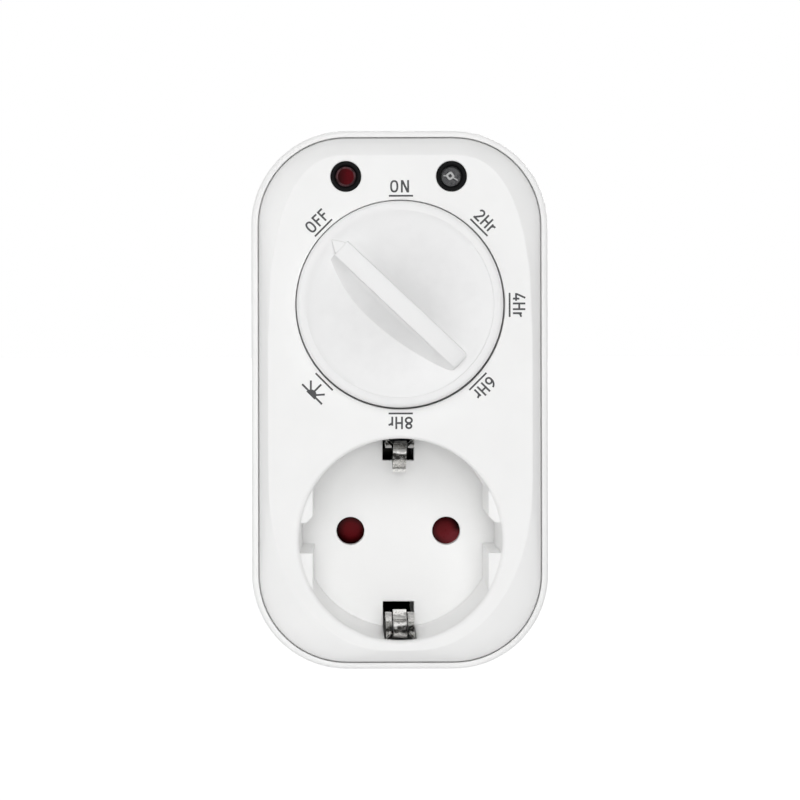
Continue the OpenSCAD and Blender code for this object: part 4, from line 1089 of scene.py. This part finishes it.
def printed(name, polygons, angle, nudge):
    """Ink on the face: polygons drawn along and out from the dial, turned clockwise by angle.

    nudge is how far the pad print is off across and up.
    """
    points, outlines = [], []
    for polygon in polygons:
        turn = sum(a[0] * b[1] - b[0] * a[1] for a, b in zip(polygon, [*polygon[1:], polygon[0]]))
        corners = list(range(len(points), len(points) + len(polygon)))
        outlines.append(corners if turn > 0 else corners[::-1])
        points += [Vector((p[0], p[1])) for p in polygon]
    flat, _, triangles, *_ = geometry.delaunay_2d_cdt(points, [], outlines, 1, 1e-4)
    triangles = [
        t for t in triangles if any(covers(polygon, centroid(flat, t)) for polygon in polygons)
    ]
    placed = []
    for depth in (FACE_Y - INK_T, FACE_Y + INK_SUNK):
        for spot in flat:
            across, up = turned(spot[0], spot[1], angle)
            placed.append((across + nudge[0], depth, DIAL_Z + up + nudge[1]))
    count = len(flat)
    edges = {(t[i], t[(i + 1) % 3]) for t in triangles for i in range(3)}
    walls = [(a, b, b + count, a + count) for a, b in edges if (b, a) not in edges]
    backs = [[i + count for i in t[::-1]] for t in triangles]
    piece(name, placed, [*triangles, *backs, *sorted(walls)], ink, "case")


SETTINGS = [  # name, degrees clockwise from straight up, nudge and polygons
    ("scale_off", -45, (0.06, 0.0), word("OFF", (0.45, 0.3))),
    ("scale_on", 0, (0.17, 0.0), word("ON", (0.5,), shift=-0.25)),
    ("scale_2hr", 45, (0.36, 0.0), word("2Hr", (0.38, 0.41))),
    ("scale_4hr", 90, (0.1, -0.1), word("4Hr", (0.32, 0.41))),
    ("scale_6hr", 135, (0.1, 0.0), word("6Hr", (0.38, 0.41))),
    ("scale_8hr", 180, (0.04, 0.0), word("8Hr", (0.35, 0.41))),
    ("scale_dusk", 225, (0.13, 0.0), setting_sun()),
]
for scale_name, scale_angle, scale_nudge, scale_shapes in SETTINGS:
    printed(scale_name, tick() + scale_shapes, scale_angle, scale_nudge)


# ---- floor, light and camera

def emitting(tree, source, unseen, seen):
    """Sets a source's strength: unseen for the light it casts, and seen for how it looks itself."""
    rays = add_node(tree, "ShaderNodeLightPath").outputs
    share = rays["Is Camera Ray"]
    for name in ("Is Glossy Ray", "Is Transmission Ray"):
        either = add_node(tree, "ShaderNodeMath", {0: share, 1: rays[name]}, operation="MAXIMUM")
        share = either.outputs[0]
    limits = {"To Min": unseen, "To Max": seen}
    strength = add_node(tree, "ShaderNodeMapRange", {"Value": share, **limits})
    tree.links.new(strength.outputs["Result"], source.inputs["Strength"])


FILL = 0.33  # even light of the room on the object
FLOOR_Z = -145.0
FLOOR_GLOW = 0.42  # lifts the floor to the backdrop's white where it is seen

world = bpy.data.worlds.new("studio")
bpy.context.scene.world = world
world.use_nodes = True
backdrop = world.node_tree.nodes["Background"]
backdrop.inputs["Color"].default_value = (1.0, 1.0, 1.0, 1.0)
emitting(world.node_tree, backdrop, unseen=FILL, seen=1.0)


def studio_floor():
    """Wide pale floor, with its far edge out of sight, that keeps the object's shadow."""
    half, cells = 9000.0, 6
    row = cells + 1
    ticks = [half * (2 * i / cells - 1) for i in range(row)]
    points = [(x, y, FLOOR_Z) for y in ticks for x in ticks]
    starts = [j * row + i for j in range(cells) for i in range(cells)]
    faces = [(first, first + 1, first + row + 1, first + row) for first in starts]
    mesh = bpy.data.meshes.new("studio_floor")
    mesh.from_pydata([Vector(p) * MM for p in points], [], faces)
    finish = Finish("floor_paper", Roughness=0.9)
    finish.feed("Base Color", finish.mottle(finish.noise(40.0), (0.9, 0.9, 0.9), (0.92, 0.92, 0.92)))
    glow = finish.add("ShaderNodeEmission")
    emitting(finish.tree, glow, unseen=0.0, seen=FLOOR_GLOW)
    paper = {0: finish.shader.outputs["BSDF"], 1: glow.outputs["Emission"]}
    both = finish.add("ShaderNodeAddShader", paper).outputs["Shader"]
    finish.tree.links.new(both, finish.tree.nodes["Material Output"].inputs["Surface"])
    mesh.materials.append(finish.material)
    show("studio_floor", mesh)


def sun(name, toward, strength, softness, glint=True):
    """Distant soft light that shines along toward. Without glint it leaves no highlight."""
    data = bpy.data.lights.new(name, "SUN")
    data.energy = strength
    data.angle = math.radians(softness)
    lamp = show(name, data)
    lamp.rotation_mode = "QUATERNION"
    lamp.rotation_quaternion = Vector(toward).to_track_quat("-Z", "Y")
    lamp.visible_glossy = glint


studio_floor()
sun("front_light", (0.0, 1.0, 0.0), 1.34, 30.0, glint=False)
sun("high_light", (0.0, 1.0, -0.6), 0.79, 30.0, glint=False)
sun("side_light", (1.0, 0.45, 0.0), 0.45, 30.0)
sun("back_light", (-0.3, -1.0, -0.4), 1.5, 40.0)


PHOTO_SIDE = 800.0  # pixels
FOCAL = 2105.6  # pixels
SENSOR = 36.0
EYE = (-11.2, -457.5, 42.6)
PRINCIPAL = (341.4, 316.3)  # pixel that the camera looks straight at
ROLL = 0.12

camera_data = bpy.data.cameras.new("photo_camera")
camera_data.sensor_width = SENSOR
camera_data.lens = FOCAL / PHOTO_SIDE * SENSOR
camera_data.shift_x = 0.5 - PRINCIPAL[0] / PHOTO_SIDE
camera_data.shift_y = PRINCIPAL[1] / PHOTO_SIDE - 0.5
camera_data.clip_start = 0.01
camera_data.clip_end = 50.0
camera = show("photo_camera", camera_data)
camera.location = Vector(EYE) * MM
camera.rotation_euler = (math.pi / 2, math.radians(ROLL), 0.0)
bpy.context.scene.camera = camera
bpy.context.scene.view_settings.view_transform = "Standard"
